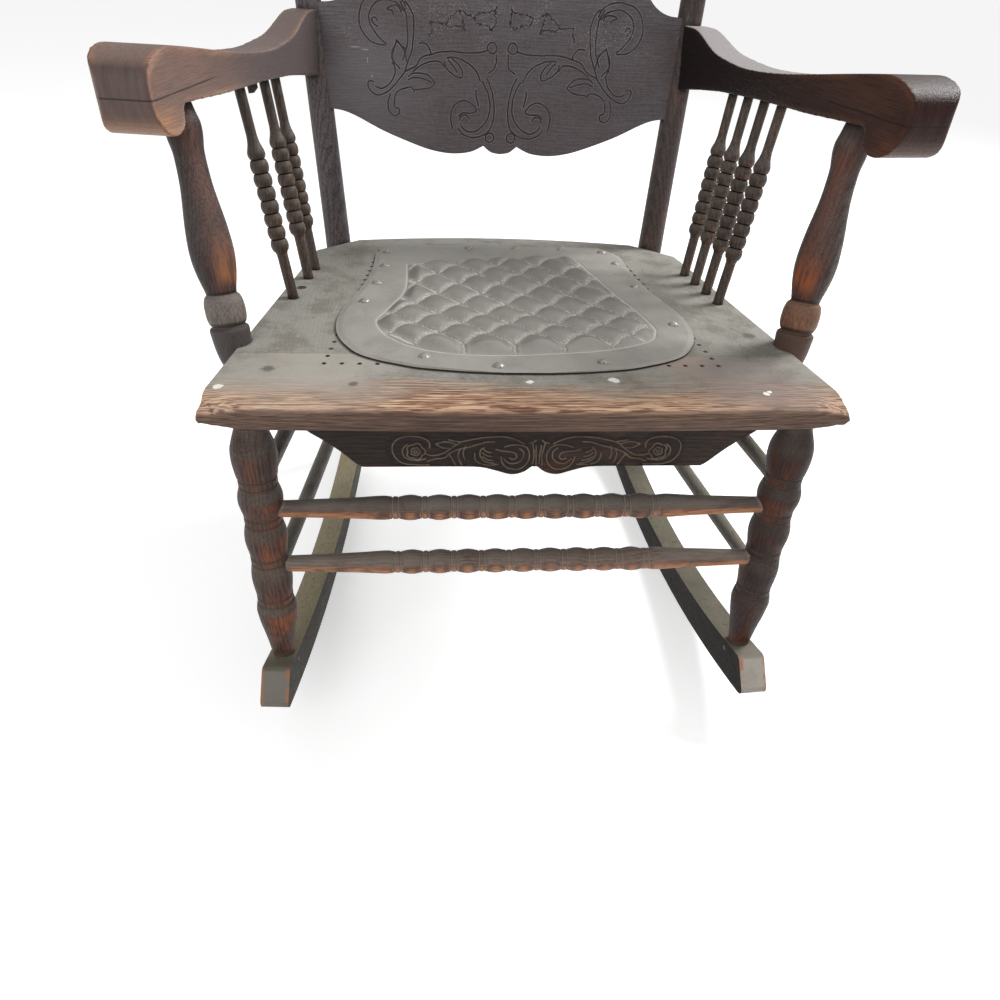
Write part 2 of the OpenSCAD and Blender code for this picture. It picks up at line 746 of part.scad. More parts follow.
module leg_foot_tenon(extra) {
    on_axis(leg_foot, leg_top)
        translate([0, 0, -foot_tenon_l - extra])
            cylinder(d = tenon_d + 2 * extra, h = foot_tenon_l + leg_tenon_start + extra, $fn = 36);
}
module leg_top_tenon(extra) {
    on_axis(leg_foot, leg_top)
        translate([0, 0, leg_len - leg_tenon_start])
            cylinder(d = tenon_d + 2 * extra, h = tenon_l + leg_tenon_start + extra, $fn = 36);
}
// Everything above the seat's underside
module seat_above() {
    seat_place()
        translate([-span / 2, -span / 2, -seat_t - gap])
            cube(span);
}
module front_leg(s) {
    color(oak_worn)
        at_rest()
            sides(s)
                difference() {
                    union() {
                        difference() {
                            intersection() {
                                on_axis(leg_foot, leg_top)
                                    turned(leg_profile);
                                rocker_above(gap);
                            }
                            seat_above();
                        }
                        leg_foot_tenon(0);
                        leg_top_tenon(0);
                    }
                    front_stretcher_end(front_upper_z, gap);
                    front_stretcher_end(front_lower_z, gap);
                    side_stretcher_end(side_upper_z, 0, gap);
                    side_stretcher_end(side_lower_z, 0, gap);
                    pegs(gap);
                }
}

// Stretchers end short of the leg's axis by this much
core_share = 0.181;
core = core_share * leg_d;
function leg_at(z) = leg_foot + (leg_top - leg_foot) * (z - leg_foot.z) / (leg_top.z - leg_foot.z);
function flip(p) = [-p.x, p.y, p.z];
module front_stretcher_end(z, extra) {
    on_axis(leg_at(z), flip(leg_at(z)))
        translate([0, 0, core - extra])
            cylinder(d = stretcher_end_d + 2 * extra, h = leg_d, $fn = 36);
}
module front_stretcher(z) {
    a = leg_at(z);
    l = 2 * a.x;
    first = l / 2 - bead_pitch * bead_count / 2;
    last = l - first;
    w = bead_pitch * 0.2;
    g = bead_pitch * 0.035;
    r = bead_d * 0.44;
    low_r = bead_d * 0.395;
    color(oak_worn)
        at_rest()
            on_axis(flip(a), a)
                turned([
                    [core, stretcher_end_d / 2], [leg_d / 2, stretcher_end_d / 2],
                    each smooth([
                        [leg_d * 0.8, stretcher_end_d / 2 * 1.04],
                        [(first + leg_d) / 2, (stretcher_end_d + stretcher_mid_d) / 4 * 1.02],
                        [first - w * 2.4, stretcher_mid_d / 2], [first - w / 2 - 2 * g, r]
                    ], 4),
                    each ring(first, w, g, r, low_r),
                    for (i = [0 : bead_count - 1]) each [
                        each barrel(first + i * bead_pitch + w / 2 + 2 * g,
                            first + (i + 1) * bead_pitch - w / 2 - 2 * g, r, bead_d / 2, 0.5, 8),
                        each ring(first + (i + 1) * bead_pitch, w, g, r, low_r)
                    ],
                    each smooth([
                        [last + w / 2 + 2 * g, r], [last + w * 2.4, stretcher_mid_d / 2],
                        [l - (first + leg_d) / 2, (stretcher_end_d + stretcher_mid_d) / 4 * 1.02],
                        [l - leg_d * 0.8, stretcher_end_d / 2 * 1.04]
                    ], 4),
                    [l - leg_d / 2, stretcher_end_d / 2], [l - core, stretcher_end_d / 2]
                ]);
}
module plain_stretcher(a, b, start, stop) {
    l = norm(b - a);
    end_r = plain_d * 0.43;
    on_axis(a, b)
        turned([
            [start, end_r], [leg_d / 2, end_r],
            each smooth([[leg_d * 0.8, end_r], [l * 0.3, plain_d * 0.485], [l / 2, plain_d / 2],
                [l * 0.7, plain_d * 0.485], [l - leg_d * 0.8, end_r]], 3),
            [l - leg_d / 2, end_r], [l - stop, end_r]
        ]);
}
side_fall_shares = [0.04, 0.076];
function side_ends(z) =
    let (a = leg_at(z), fall = z > front_upper_z ? side_fall_shares[0] : side_fall_shares[1])
    [a, [post_x, post_y, z - fall * (post_y - a.y)]];
module side_stretcher_end(z, at_post, extra) {
    e = side_ends(z);
    a = at_post ? e[1] : e[0];
    b = at_post ? e[0] : e[1];
    on_axis(a, b)
        translate([0, 0, core - extra])
            cylinder(d = plain_d * 0.86 + 2 * extra, h = leg_d, $fn = 36);
}
module side_stretcher(s, z) {
    e = side_ends(z);
    color(oak)
        at_rest()
            sides(s)
                plain_stretcher(e[0], e[1], core, core);
}
rear_ends = [[-post_x, post_y, rear_stretcher_z], [post_x, post_y, rear_stretcher_z]];
module rear_stretcher_end(extra) {
    on_axis(rear_ends[1], rear_ends[0])
        translate([0, 0, core - extra])
            cylinder(d = plain_d * 0.86 + 2 * extra, h = leg_d, $fn = 36);
}
module rear_stretcher() {
    color(oak)
        at_rest()
            plain_stretcher(rear_ends[0], rear_ends[1], core, core);
}

// Back posts: upright below the seat, bent at the seat, leaning back and out above it
post_bend_z = seat_z(post_y) - seat_t / 2;
post_lean = atan(norm([post_splay, post_rake]));
post_turn = atan2(post_rake, post_splay);
post_bend_half = post_bend_r * tan(post_lean / 2);
bend_lap = post_d / 8;
post_foot_z = rocker_top(post_y);
post_top_r = post_top_d / 2;
post_dir = unit([post_splay, post_rake, 1]);
function post_at(z) = [
    post_x + post_splay * (z - post_bend_z), post_y + post_rake * (z - post_bend_z), z
];
finial_shares = [
    [0.77, 1], [0.785, 1], [0.792, 0.78], [0.8, 0.72], [0.808, 0.86], [0.818, 0.95], [0.828, 0.86],
    [0.836, 0.66], [0.848, 0.58], [0.862, 0.7], [0.885, 0.98], [0.91, 1.1], [0.935, 1.04],
    [0.96, 0.8], [0.975, 0.56], [0.988, 0.42], [1, 0.08]
];
module post_foot_tenon(extra) {
    translate([post_x, post_y, post_foot_z - foot_tenon_l - extra])
        cylinder(d = tenon_d + 2 * extra, h = foot_tenon_l + leg_tenon_start + extra, $fn = 36);
}
module post_upper(extra) {
    translate([post_x, post_y, post_bend_z])
        rotate([0, 0, post_turn])
            rotate([0, post_lean, 0])
                turned([
                    [post_bend_half - bend_lap, post_d / 2 + extra], [post_l * 0.5, post_top_r + extra],
                    for (q = smooth(finial_shares, 2)) [q.x * post_l, q.y * post_top_r + extra]
                ]);
}
// The bent length is a hair thicker than the straight lengths that run into it
module post_bend() {
    translate([post_x, post_y, post_bend_z - post_bend_half])
        rotate([0, 0, post_turn])
            translate([post_bend_r, 0, 0])
                mirror([1, 0, 0])
                    rotate([90, 0, 0])
                        rotate_extrude(angle = post_lean, $fn = 360)
                            translate([post_bend_r, 0])
                                circle(d = post_d + gap);
}
module post_body() {
    intersection() {
        translate([post_x, post_y, post_foot_z - leg_tenon_start])
            cylinder(r1 = leg_foot_d * 0.56, r2 = post_d / 2,
                h = post_bend_z - post_bend_half + bend_lap - post_foot_z + leg_tenon_start);
        rocker_above(gap);
    }
    post_bend();
    post_upper(0);
}
panel_lean = atan(post_rake);
module back_place() {
    translate([0, post_y, post_bend_z])
        rotate([-panel_lean, 0, 0])
            children();
}
// Half the distance between the posts' axes at a height along the panel
function between(h) = post_x + post_splay * cos(panel_lean) * h;
module post_groove() {
    back_place()
        translate([0, panel_t / 2 + gap, 0])
            rotate([90, 0, 0])
                linear_extrude(panel_t + 2 * gap)
                    polygon([
                        [0, panel_h0 - gap], [panel_end_x + gap, panel_h0 - gap],
                        [shoulder_end_x + gap, shoulder_h + gap], [0, shoulder_h + gap]
                    ]);
}
module back_post(s) {
    color(oak)
        at_rest()
            sides(s)
                difference() {
                    union() {
                        post_body();
                        post_foot_tenon(0);
                    }
                    post_groove();
                    side_stretcher_end(side_upper_z, 1, gap);
                    side_stretcher_end(side_lower_z, 1, gap);
                    rear_stretcher_end(gap);
                    post_screw(gap);
                    arm_screw(gap);
                    pegs(gap);
                }
}
// Panel: half of its lower edge from the middle out, as shares of the half width and the scallop
scallop_shares = [
    [[0, 0.985], [0.055, 0.94], [0.1, 0.79]],
    [[0.1, 0.79], [0.18, 0.95], [0.29, 1], [0.4, 0.94], [0.51, 0.8], [0.69, 0.5], [0.84, 0.18],
     [0.92, 0.05], [1, 0]]
];
// Half of its crest from the hollow corner in to the middle
crest_shares = [
    [0.76, 0.495], [0.742, 0.56], [0.66, 0.66], [0.5, 0.8], [0.33, 0.89], [0.2, 0.93], [0.09, 0.985], [0, 1]
];
panel_end_x = between(panel_h0) - post_top_r + groove_d;
shoulder_end_x = between(shoulder_h) - post_top_r + groove_d;
panel_half = [
    for (q = [each smooth(scallop_shares[0], 4), each smooth(scallop_shares[1], 5)])
        [q.x * panel_end_x, panel_h0 - q.y * scallop_h],
    [shoulder_end_x, shoulder_h],
    for (i = [0 : 2 * round_steps])
        let (a = 90 * i / 2 / round_steps)
        [shoulder_end_x - groove_d * 2 - shoulder_r * sin(a), shoulder_h + shoulder_r * (1 - cos(a))],
    for (q = smooth(crest_shares, 4))
        [q.x * shoulder_end_x, shoulder_h + q.y * crest_h]
];
module back_panel() {
    color(oak)
        at_rest()
            back_place()
                translate([0, panel_t / 2, 0])
                    rotate([90, 0, 0])
                        linear_extrude(panel_t)
                            polygon([each panel_half, each mirrored(panel_half)]);
}

// Arms: the side view crossed with the plan, turned out and coped round the post.
// Shares of the arm's length from the front, and of its height
arm_top_shares = [
    [0, 0.24], [0.001, 0.36], [0.01, 0.5], [0.038, 0.61], [0.083, 0.675], [0.13, 0.655],
    [0.233, 0.575], [0.337, 0.49], [0.448, 0.41], [0.56, 0.356], [0.65, 0.348], [0.73, 0.386],
    [0.8, 0.445], [0.85, 0.54], [0.9, 0.66], [0.945, 0.735], [1, 0.75]
];
arm_under_shares = [
    [0.13, 0.06], [0.2, 0.04], [0.32, 0], [0.56, -0.032], [0.743, -0.095], [0.911, -0.206], [1, -0.292]
];
arm_nose_shares = [
    [0.13, 0.06], [0.12, 0.04], [0.116, -0.03], [0.114, -0.13], [0.1, -0.205], [0.072, -0.243],
    [0.035, -0.165], [0.008, 0.02], [0, 0.24]
];
arm_plan_shares = [
    [0.006, 0.02], [0, 0.12], [0, 0.66], [0.012, 0.84], [0.04, 0.95], [0.09, 1], [0.2, 0.98], [0.317, 0.93],
    [0.45, 0.86], [0.6, 0.79], [0.73, 0.73], [0.85, 0.63], [0.93, 0.57], [1.02, 0.56]
];
arm_rear = post_at(arm_z) - [arm_inside, post_top_r, 0];
arm_run = 1.02;
module arm_place() {
    translate([arm_rear.x, arm_rear.y, arm_z])
        rotate([0, 0, arm_toe])
            translate([0, -arm_l, 0])
                children();
}
function arm_point(s, v) =
    [arm_rear.x + v * cos(arm_toe) + (1 - s) * arm_l * sin(arm_toe),
     arm_rear.y + v * sin(arm_toe) - (1 - s) * arm_l * cos(arm_toe),
     arm_z + arm_h * lookup(s, arm_under_shares)];
module arm_solid() {
    intersection() {
        translate([0, 0, -arm_h / 2])
            linear_extrude(2 * arm_h)
                polygon([
                    for (q = smooth(arm_plan_shares, 3)) [q.y * arm_w, q.x * arm_l],
                    [0, arm_run * arm_l], [0, 0.02 * arm_l]
                ]);
        rotate([90, 0, 90])
            linear_extrude(2 * arm_w)
                polygon(scaled([
                    each smooth(arm_top_shares, 4), [arm_run, 0.75], [arm_run, -0.3],
                    for (i = [len(arm_under_shares) - 1 : -1 : 1]) arm_under_shares[i],
                    each smooth(arm_nose_shares, 3)
                ], [arm_l, arm_h]));
    }
}
module arm(s) {
    color(oak_worn)
        at_rest()
            sides(s)
                difference() {
                    arm_place()
                        arm_solid();
                    post_upper(gap);
                    support_tenon(gap);
                    for (i = [0 : 3])
                        spindle_end(i, 1, gap);
                    arm_screw(gap);
                }
}

// Arm supports: vase, ball and cup, set in a notch in the seat's edge
support_foot = [edge_x(support_y) + support_out, support_y, seat_z(support_y) - seat_t / 2];
support_head_share = 0.222;
support_head = arm_point(support_head_share, arm_w * 0.52);
support_len = norm(support_head - support_foot);
support_shares = [
    [[-0.118, 0.06], [-0.115, 0.28], [-0.105, 0.46], [-0.085, 0.58], [-0.055, 0.65], [-0.02, 0.77],
     [0.03, 0.87], [0.075, 0.915], [0.105, 0.935], [0.117, 0.9], [0.123, 0.8]],
    [[0.129, 0.78], [0.14, 0.87], [0.163, 0.93], [0.195, 0.94], [0.225, 0.91], [0.248, 0.83], [0.256, 0.74]],
    [[0.262, 0.7], [0.285, 0.75], [0.33, 0.87], [0.38, 0.965], [0.43, 1], [0.485, 0.975], [0.56, 0.89],
     [0.625, 0.785], [0.69, 0.7], [0.76, 0.665], [0.81, 0.67], [0.845, 0.73], [0.875, 0.775], [0.91, 0.765],
     [0.945, 0.66], [0.985, 0.56]]
];
module support_shape(extra) {
    on_axis(support_foot, support_head)
        turned([
            for (part = support_shares, q = smooth(part, 3))
                [q.x * support_len, q.y * support_d / 2 + extra],
            [support_len - gap, support_d * 0.27 + extra]
        ]);
}
module support_tenon(extra) {
    on_axis(support_foot, support_head)
        translate([0, 0, support_len - tenon_l])
            cylinder(d = tenon_d * 0.8 + 2 * extra, h = 2 * tenon_l + extra, $fn = 36);
}
module arm_support(s) {
    color(oak_worn)
        at_rest()
            sides(s)
                difference() {
                    union() {
                        support_shape(0);
                        support_tenon(0);
                    }
                    support_screw(gap);
                }
}

// Spindles: a bead-turned length between plain ends
function spindle_foot(i) =
    let (y = spindle_y + i * spindle_pitch)
    [edge_x(y) - spindle_inset, y, seat_z(y)];
spindle_head_shares = [0.483, 0.563, 0.645, 0.727];
spindle_across_share = 0.31;
spindle_head_v = spindle_across_share * arm_w;
function spindle_head(i) = arm_point(spindle_head_shares[i], spindle_head_v);
module spindle_end(i, at_head, extra) {
    a = at_head ? spindle_head(i) : spindle_foot(i);
    b = at_head ? spindle_foot(i) : spindle_head(i);
    on_axis(a, b)
        translate([0, 0, -spindle_socket - extra])
            cylinder(d = (at_head ? spindle_head_d : spindle_foot_d) + 2 * extra,
                h = 2 * spindle_socket, $fn = 36);
}
spindle_beads = 7;
spindle_pitch_share = 0.062;
spindle_first_share = 0.242;
spindle_groove_share = 0.72;
module spindle_shape(i) {
    l = norm(spindle_head(i) - spindle_foot(i));
    p = spindle_pitch_share * l;
    z0 = spindle_first_share * l;
    z1 = z0 + spindle_beads * p;
    mid_r = spindle_bead_d / 2;
    low_r = mid_r * spindle_groove_share;
    on_axis(spindle_foot(i), spindle_head(i))
        turned([
            [-spindle_socket, spindle_foot_d / 2], [z0 - p / 4, spindle_foot_d / 2],
            for (k = [0 : spindle_beads - 1]) each [
                [z0 + k * p, low_r],
                each [for (m = [0 : 8])
                    [z0 + k * p + p * (0.06 + 0.11 * m),
                     low_r + (mid_r - low_r) * (0.35 + 0.65 * sin(180 * (0.06 + 0.11 * m)))]]
            ],
            [z1, low_r],
            each smooth([
                [z1 + p * 0.08, mid_r * 0.82], [z1 + p * 0.3, mid_r * 0.94], [z1 + p * 0.55, mid_r * 0.93],
                [z1 + p * 0.85, mid_r * 0.8], [z1 + p * 1.2, mid_r * 0.65],
                [z1 + p * 1.7, spindle_head_d / 2]
            ], 3),
            [l + spindle_socket, spindle_head_d / 2]
        ]);
}
module spindle(s, i) {
    color(oak)
        at_rest()
            sides(s)
                spindle_shape(i - 1);
}
// The second spindle on the left is snapped off: a stub hangs from the arm, a stump fills the seat's socket
module broken_spindle_left() {
    l = norm(spindle_head(1) - spindle_foot(1));
    color(oak)
        at_rest()
            sides(-1)
                on_axis(spindle_foot(1), spindle_head(1)) {
                    translate([0, 0, -spindle_socket])
                        cylinder(d = spindle_foot_d, h = spindle_socket - over, $fn = 36);
                    difference() {
                        translate([0, 0, l - stub_l])
                            cylinder(d = spindle_head_d, h = stub_l + spindle_socket, $fn = 36);
                        translate([0, 0, l - stub_l])
                            rotate([30, 25, 0])
                                translate([-stub_l, -stub_l, -2 * stub_l])
                                    cube(2 * stub_l);
                    }
                }
}

// Screws with round heads, each seated in a spot face
module screw_solid(from, along) {
    on_axis(from, from + along) {
        cylinder(d = screw_d, h = screw_l, $fn = 24);
        translate([0, 0, -screw_head_h])
            rotate_extrude($fn = 24)
                polygon([
                    for (i = [0 : 4])
                        [screw_head_d / 2 * sin(22.5 * i), screw_head_h * (1 - cos(22.5 * i))],
                    [0, screw_head_h]
                ]);
    }
}
screw_head_h = screw_head_d * 0.35;
module screw_hole(from, along, extra) {
    on_axis(from, from + along) {
        cylinder(d = screw_d + 2 * extra, h = screw_l + extra, $fn = 24);
        translate([0, 0, -2 * screw_head_d + extra])
            cylinder(d = screw_head_d + 2 * extra, h = 2 * screw_head_d, $fn = 24);
    }
}
inward = [-1, -1, 0];
post_screw_from = [post_x, post_y, post_bend_z] - unit(inward) * (post_d / 2 - screw_head_h);
support_screw_from = support_foot + [support_d * 0.4 - screw_head_h, 0, 0];
arm_screw_mid = post_at(arm_z + arm_h * 0.2);
arm_forward = [sin(arm_toe), -cos(arm_toe), 0];
arm_screw_from = arm_screw_mid - arm_forward * (post_top_r - screw_head_h);
module post_screw(extra) screw_hole(post_screw_from, inward, extra);
module support_screw(extra) screw_hole(support_screw_from, [-1, 0, 0], extra);
module arm_screw(extra) screw_hole(arm_screw_from, arm_forward, extra);
module frame_screws() {
    color(steel_dark)
        at_rest()
            for (s = [-1, 1])
                sides(s) {
                    screw_solid(post_screw_from, inward);
                    screw_solid(support_screw_from, [-1, 0, 0]);
                }
}
module arm_screws() {
    color(steel_dark)
        at_rest()
            for (s = [-1, 1])
                sides(s)
                    screw_solid(arm_screw_from, arm_forward);
}

seat_front_rail();
seat_back_rail();
seat_side_rail(-1);  // seat_side_rail_left
seat_side_rail(1);  // seat_side_rail_right
seat_dowels();
seat_leather();
leather_tacks();
front_apron();
apron_dowels();
back_post(-1);  // back_post_left
back_post(1);  // back_post_right
back_panel();
arm(-1);  // arm_left
arm(1);  // arm_right
arm_support(-1);  // arm_support_left
arm_support(1);  // arm_support_right
spindle(1, 1);  // spindle_right_1
spindle(1, 2);  // spindle_right_2
spindle(1, 3);  // spindle_right_3
spindle(1, 4);  // spindle_right_4
spindle(-1, 1);  // spindle_left_1
spindle(-1, 3);  // spindle_left_3
spindle(-1, 4);  // spindle_left_4
broken_spindle_left();
front_leg(-1);  // front_leg_left
front_leg(1);  // front_leg_right
rocker(-1);  // rocker_left
rocker(1);  // rocker_right
front_stretcher(front_upper_z);  // front_stretcher_upper
front_stretcher(front_lower_z);  // front_stretcher_lower
rear_stretcher();
side_stretcher(-1, side_upper_z);  // side_stretcher_upper_left
side_stretcher(1, side_upper_z);  // side_stretcher_upper_right
side_stretcher(-1, side_lower_z);  // side_stretcher_lower_left
side_stretcher(1, side_lower_z);  // side_stretcher_lower_right
arm_screws();
frame_screws();
rocker_pegs();
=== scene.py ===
import math
import bpy
import bmesh
import numpy
from mathutils import Matrix, Vector, kdtree, noise


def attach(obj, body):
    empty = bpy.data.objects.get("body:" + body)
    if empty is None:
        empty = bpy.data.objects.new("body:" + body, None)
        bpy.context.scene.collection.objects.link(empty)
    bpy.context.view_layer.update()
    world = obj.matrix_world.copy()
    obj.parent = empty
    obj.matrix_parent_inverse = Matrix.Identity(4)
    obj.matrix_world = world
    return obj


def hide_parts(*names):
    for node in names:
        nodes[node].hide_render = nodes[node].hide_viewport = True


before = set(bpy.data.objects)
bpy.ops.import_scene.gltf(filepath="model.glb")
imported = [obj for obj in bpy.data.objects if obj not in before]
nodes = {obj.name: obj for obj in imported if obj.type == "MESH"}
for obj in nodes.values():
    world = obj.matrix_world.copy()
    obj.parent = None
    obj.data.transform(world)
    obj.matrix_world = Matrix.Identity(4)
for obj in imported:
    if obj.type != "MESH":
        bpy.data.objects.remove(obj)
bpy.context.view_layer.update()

# How the chair stands: it is drawn level and then set down on its rockers
stance = {
    "rockerRadius": 1.06,
    "flatAngle": 1.5,
    "restLean": 1.3,
    "rockY": 0.257,
    "seatHeight": 0.35,
    "seatTilt": 1.4,
    "postY": 0.463,
    "bendHeight": 0.32743,
    "backSlope": 0.15,
}


def turnX(degrees):
    return Matrix.Rotation(math.radians(degrees), 4, "X")


restMatrix = (
    Matrix.Translation((0, 0, stance["rockerRadius"] * math.cos(math.radians(stance["flatAngle"] / 2))))
    @ turnX(-stance["restLean"])
    @ Matrix.Translation((0, -stance["rockY"], -stance["rockerRadius"]))
)
seatMatrix = restMatrix @ Matrix.Translation((0, 0, stance["seatHeight"])) @ turnX(-stance["seatTilt"])
backMatrix = (
    restMatrix
    @ Matrix.Translation((0, stance["postY"], stance["bendHeight"]))
    @ turnX(-math.degrees(math.atan(stance["backSlope"])))
)

# ---- camera
cameraSet = {
    "place": (-0.078786, -0.530343, 0.6442),
    "yaw": 5.776,
    "pitch": 36.002,
    "roll": 2.935,
    "lens": 26.864,
    "sensor": 36,
}


def makeCamera():
    yaw, pitch, roll = (math.radians(cameraSet[k]) for k in ("yaw", "pitch", "roll"))
    ahead = Vector((math.sin(yaw) * math.cos(pitch), math.cos(yaw) * math.cos(pitch), -math.sin(pitch)))
    right = Vector((math.cos(yaw), -math.sin(yaw), 0))
    up = right.cross(ahead)
    across = math.cos(roll) * right + math.sin(roll) * up
    above = -math.sin(roll) * right + math.cos(roll) * up
    turn = Matrix((across, above, -ahead)).transposed().to_4x4()
    data = bpy.data.cameras.new("photoCamera")
    data.lens = cameraSet["lens"]
    data.sensor_width = cameraSet["sensor"]
    data.sensor_fit = "HORIZONTAL"
    camera = bpy.data.objects.new("photoCamera", data)
    bpy.context.scene.collection.objects.link(camera)
    camera.matrix_world = restMatrix @ Matrix.Translation(cameraSet["place"]) @ turn
    bpy.context.scene.camera = camera


# ---- node helpers
# A "#rrggbb" colour in the linear values that a socket takes
def linearColour(text):
    parts = (int(text[k:k + 2], 16) / 255 for k in (1, 3, 5))
    return (*(c / 12.92 if c <= 0.04045 else ((c + 0.055) / 1.055) ** 2.4 for c in parts), 1)


def addNode(tree, kind, inputs=None, **settings):
    made = tree.nodes.new(kind)
    for name, value in settings.items():
        setattr(made, name, value)
    for name, value in (inputs or {}).items():
        if isinstance(value, Shade):
            tree.links.new(value.socket, made.inputs[name])
        else:
            made.inputs[name].default_value = linearColour(value) if isinstance(value, str) else value
    return made


# One output of a new node, and all of them by name
def shade(tree, kind, inputs=None, output=0, **settings):
    return Shade(tree, addNode(tree, kind, inputs, **settings).outputs[output])


def shades(tree, kind, inputs=None, **settings):
    return {socket.name: Shade(tree, socket) for socket in addNode(tree, kind, inputs, **settings).outputs}


def maths(tree, what, *values):
    return shade(tree, "ShaderNodeMath", dict(enumerate(values)), operation=what)


def mixColour(tree, share, first, second):
    return shade(tree, "ShaderNodeMix", {0: share, 6: first, 7: second}, 2, data_type="RGBA")


# A value, place or colour in a node tree; every sum with it adds a node
class Shade:
    def __init__(self, tree, socket):
        self.tree = tree
        self.socket = socket

    def maths(self, what, *others):
        return maths(self.tree, what, self, *others)

    def __add__(self, other):
        return self.maths("ADD", other)

    def __sub__(self, other):
        return self.maths("SUBTRACT", other)

    def __rsub__(self, other):
        return maths(self.tree, "SUBTRACT", other, self)

    def __mul__(self, other):
        return self.maths("MULTIPLY", other)

    def __truediv__(self, other):
        return self.maths("DIVIDE", other)

    def __abs__(self):
        return self.maths("ABSOLUTE")

    # Keeps the last sum between 0 and 1
    def clamped(self):
        self.socket.node.use_clamp = True
        return self

    def spread(self, low, high, toLow=0.0, toHigh=1.0):
        return shade(self.tree, "ShaderNodeMapRange", {0: self, 1: low, 2: high, 3: toLow, 4: toHigh},
                     interpolation_type="SMOOTHSTEP")

    def vectorMaths(self, what, *others, output=0):
        return shade(self.tree, "ShaderNodeVectorMath", dict(enumerate((self, *others))), output, operation=what)

    def stretched(self, scale):
        return self.vectorMaths("MULTIPLY", scale)

    def split(self):
        return shades(self.tree, "ShaderNodeSeparateXYZ", {0: self})

    def noise(self, scale, detail=3.0, roughness=0.55, output=0):
        return shade(self.tree, "ShaderNodeTexNoise",
                     {"Vector": self, "Scale": scale, "Detail": detail, "Roughness": roughness}, output)

    # A spot round a point, with a ragged rim
    def spot(self, point, radius, ragged=0.5, soft=0.25):
        away = self.vectorMaths("DISTANCE", point, output="Value")
        away = (self.noise(0.9 / radius, 2, 0.6) - 0.5) * (radius * ragged * 2) + away
        return away.spread(radius * (1 + soft), radius * (1 - soft))

    # This colour under a coat of another one
    def coat(self, tint, share):
        return mixColour(self.tree, share, self, tint)


def normalOf(tree):
    return shade(tree, "ShaderNodeNewGeometry", output="Normal")


# How much a surface faces a direction
def facing(tree, direction, low, high):
    return normalOf(tree).vectorMaths("DOT_PRODUCT", direction, output="Value").spread(low, high)


def stored(tree, name, output="Fac"):
    return shade(tree, "ShaderNodeAttribute", output=output, attribute_name=name, attribute_type="GEOMETRY")


def newGroup(name, inputs, outputs):
    tree = bpy.data.node_groups.new(name, "ShaderNodeTree")
    for label, value in inputs.items():
        kind = "Float" if isinstance(value, float) else "Color" if value else "Vector"
        socket = tree.interface.new_socket(name=label, in_out="INPUT", socket_type="NodeSocket" + kind)
        if value:
            socket.default_value = value
    for label in outputs:
        kind = "Color" if label == "Color" else "Float"
        tree.interface.new_socket(name=label, in_out="OUTPUT", socket_type="NodeSocket" + kind)
    return tree, shades(tree, "NodeGroupInput")


def useGroup(tree, group, inputs):
    return shades(tree, "ShaderNodeGroup", inputs, node_tree=group)


def startMaterial(name):
    material = bpy.data.materials.new(name)
    material.use_nodes = True
    tree = material.node_tree
    tree.nodes.clear()
    return material, tree, shade(tree, "ShaderNodeTexCoord", output="Object")


def finishMaterial(tree, height, strength, distance, inputs):
    bump = shade(tree, "ShaderNodeBump", {"Height": height, "Strength": strength, "Distance": distance})
    shader = shade(tree, "ShaderNodeBsdfPrincipled", {**inputs, "Normal": bump})
    addNode(tree, "ShaderNodeOutputMaterial", {0: shader})


# Open oak grain that runs along X of the vector it is given; rings lie round that axis
def makeOakGrain():
    black = (0, 0, 0, 1)
    tree, enter = newGroup(
        "oakGrain",
        {"Vector": None, "Rings": 0.5, "Ring Width": 0.003, "Pores": 0.6, "Contrast": 1.0,
         "Dark": black, "Mid": black, "Light": black},
        ("Color", "Height", "Streak"))
    place = enter["Vector"]
    parts = place.split()
    waver = place.stretched((4, 14, 14)).noise(1, 2, 0.5)
    ripple = place.stretched((11, 60, 60)).noise(1, 2, 0.5)
    shift = waver * 0.03 + ripple * 0.006
    across = parts["Y"] + shift
    below = parts["Z"] + shift
    radius = (across * across + below * below).maths("SQRT")
    ring = (radius * 6.283 / enter["Ring Width"]).maths("SINE").spread(-0.3, 0.9)
    broad = place.stretched((3, 17, 17)).noise(1, 2).spread(0.3, 0.7)
    fine = place.stretched((30, 1250, 1250)).noise(1, 3, 0.6).spread(0.33, 0.67)
    pores = place.stretched((52, 1700, 1700)).noise(1, 1, 0.5)
    pores = (ring * 0.1 + pores).spread(0.58, 0.66)
    pores = (pores * enter["Pores"]).clamped()
    lines = (0.4 - ring) * enter["Rings"]
    tone = (fine - 0.5) * 0.45 + lines
    tone = (broad - 0.5) * 0.35 + tone
    tone = (tone * enter["Contrast"] + 0.5).clamped()
    colour = mixColour(tree, (tone * 2).clamped(), enter["Dark"], enter["Mid"])
    colour = colour.coat(enter["Light"], (tone * 2 - 1).clamped())
    colour = colour.coat(enter["Dark"], pores * 0.75)
    height = lines * 0.5 + (fine * 0.3 - pores)
    addNode(tree, "NodeGroupOutput", {"Color": colour, "Height": height, "Streak": fine})
    return tree


# Rubbed edges, and hollows found by ambient occlusion: the materials paint shade into the hollows, and pale dust on
# the legs and beaded stretchers
def makeWornEdges():
    tree, enter = newGroup("wornEdges", {"Vector": None, "Radius": 0.003, "Patches": 30.0}, ("Edge", "Hollow"))
    bevel = shade(tree, "ShaderNodeBevel", {"Radius": enter["Radius"]}, samples=4)
    turned = bevel.vectorMaths("DOT_PRODUCT", normalOf(tree), output="Value")
    hollow = shade(tree, "ShaderNodeAmbientOcclusion", {"Distance": enter["Radius"] * 3}, "AO", samples=6)
    hollow = hollow.spread(0.93, 0.48)
    patch = enter["Vector"].noise(enter["Patches"], 4, 0.6)
    edge = (1.0 - turned).spread(0.004, 0.09) * patch.spread(0.34, 0.56)
    addNode(tree, "NodeGroupOutput", {"Edge": (edge - hollow).clamped(), "Hollow": hollow})
    return tree


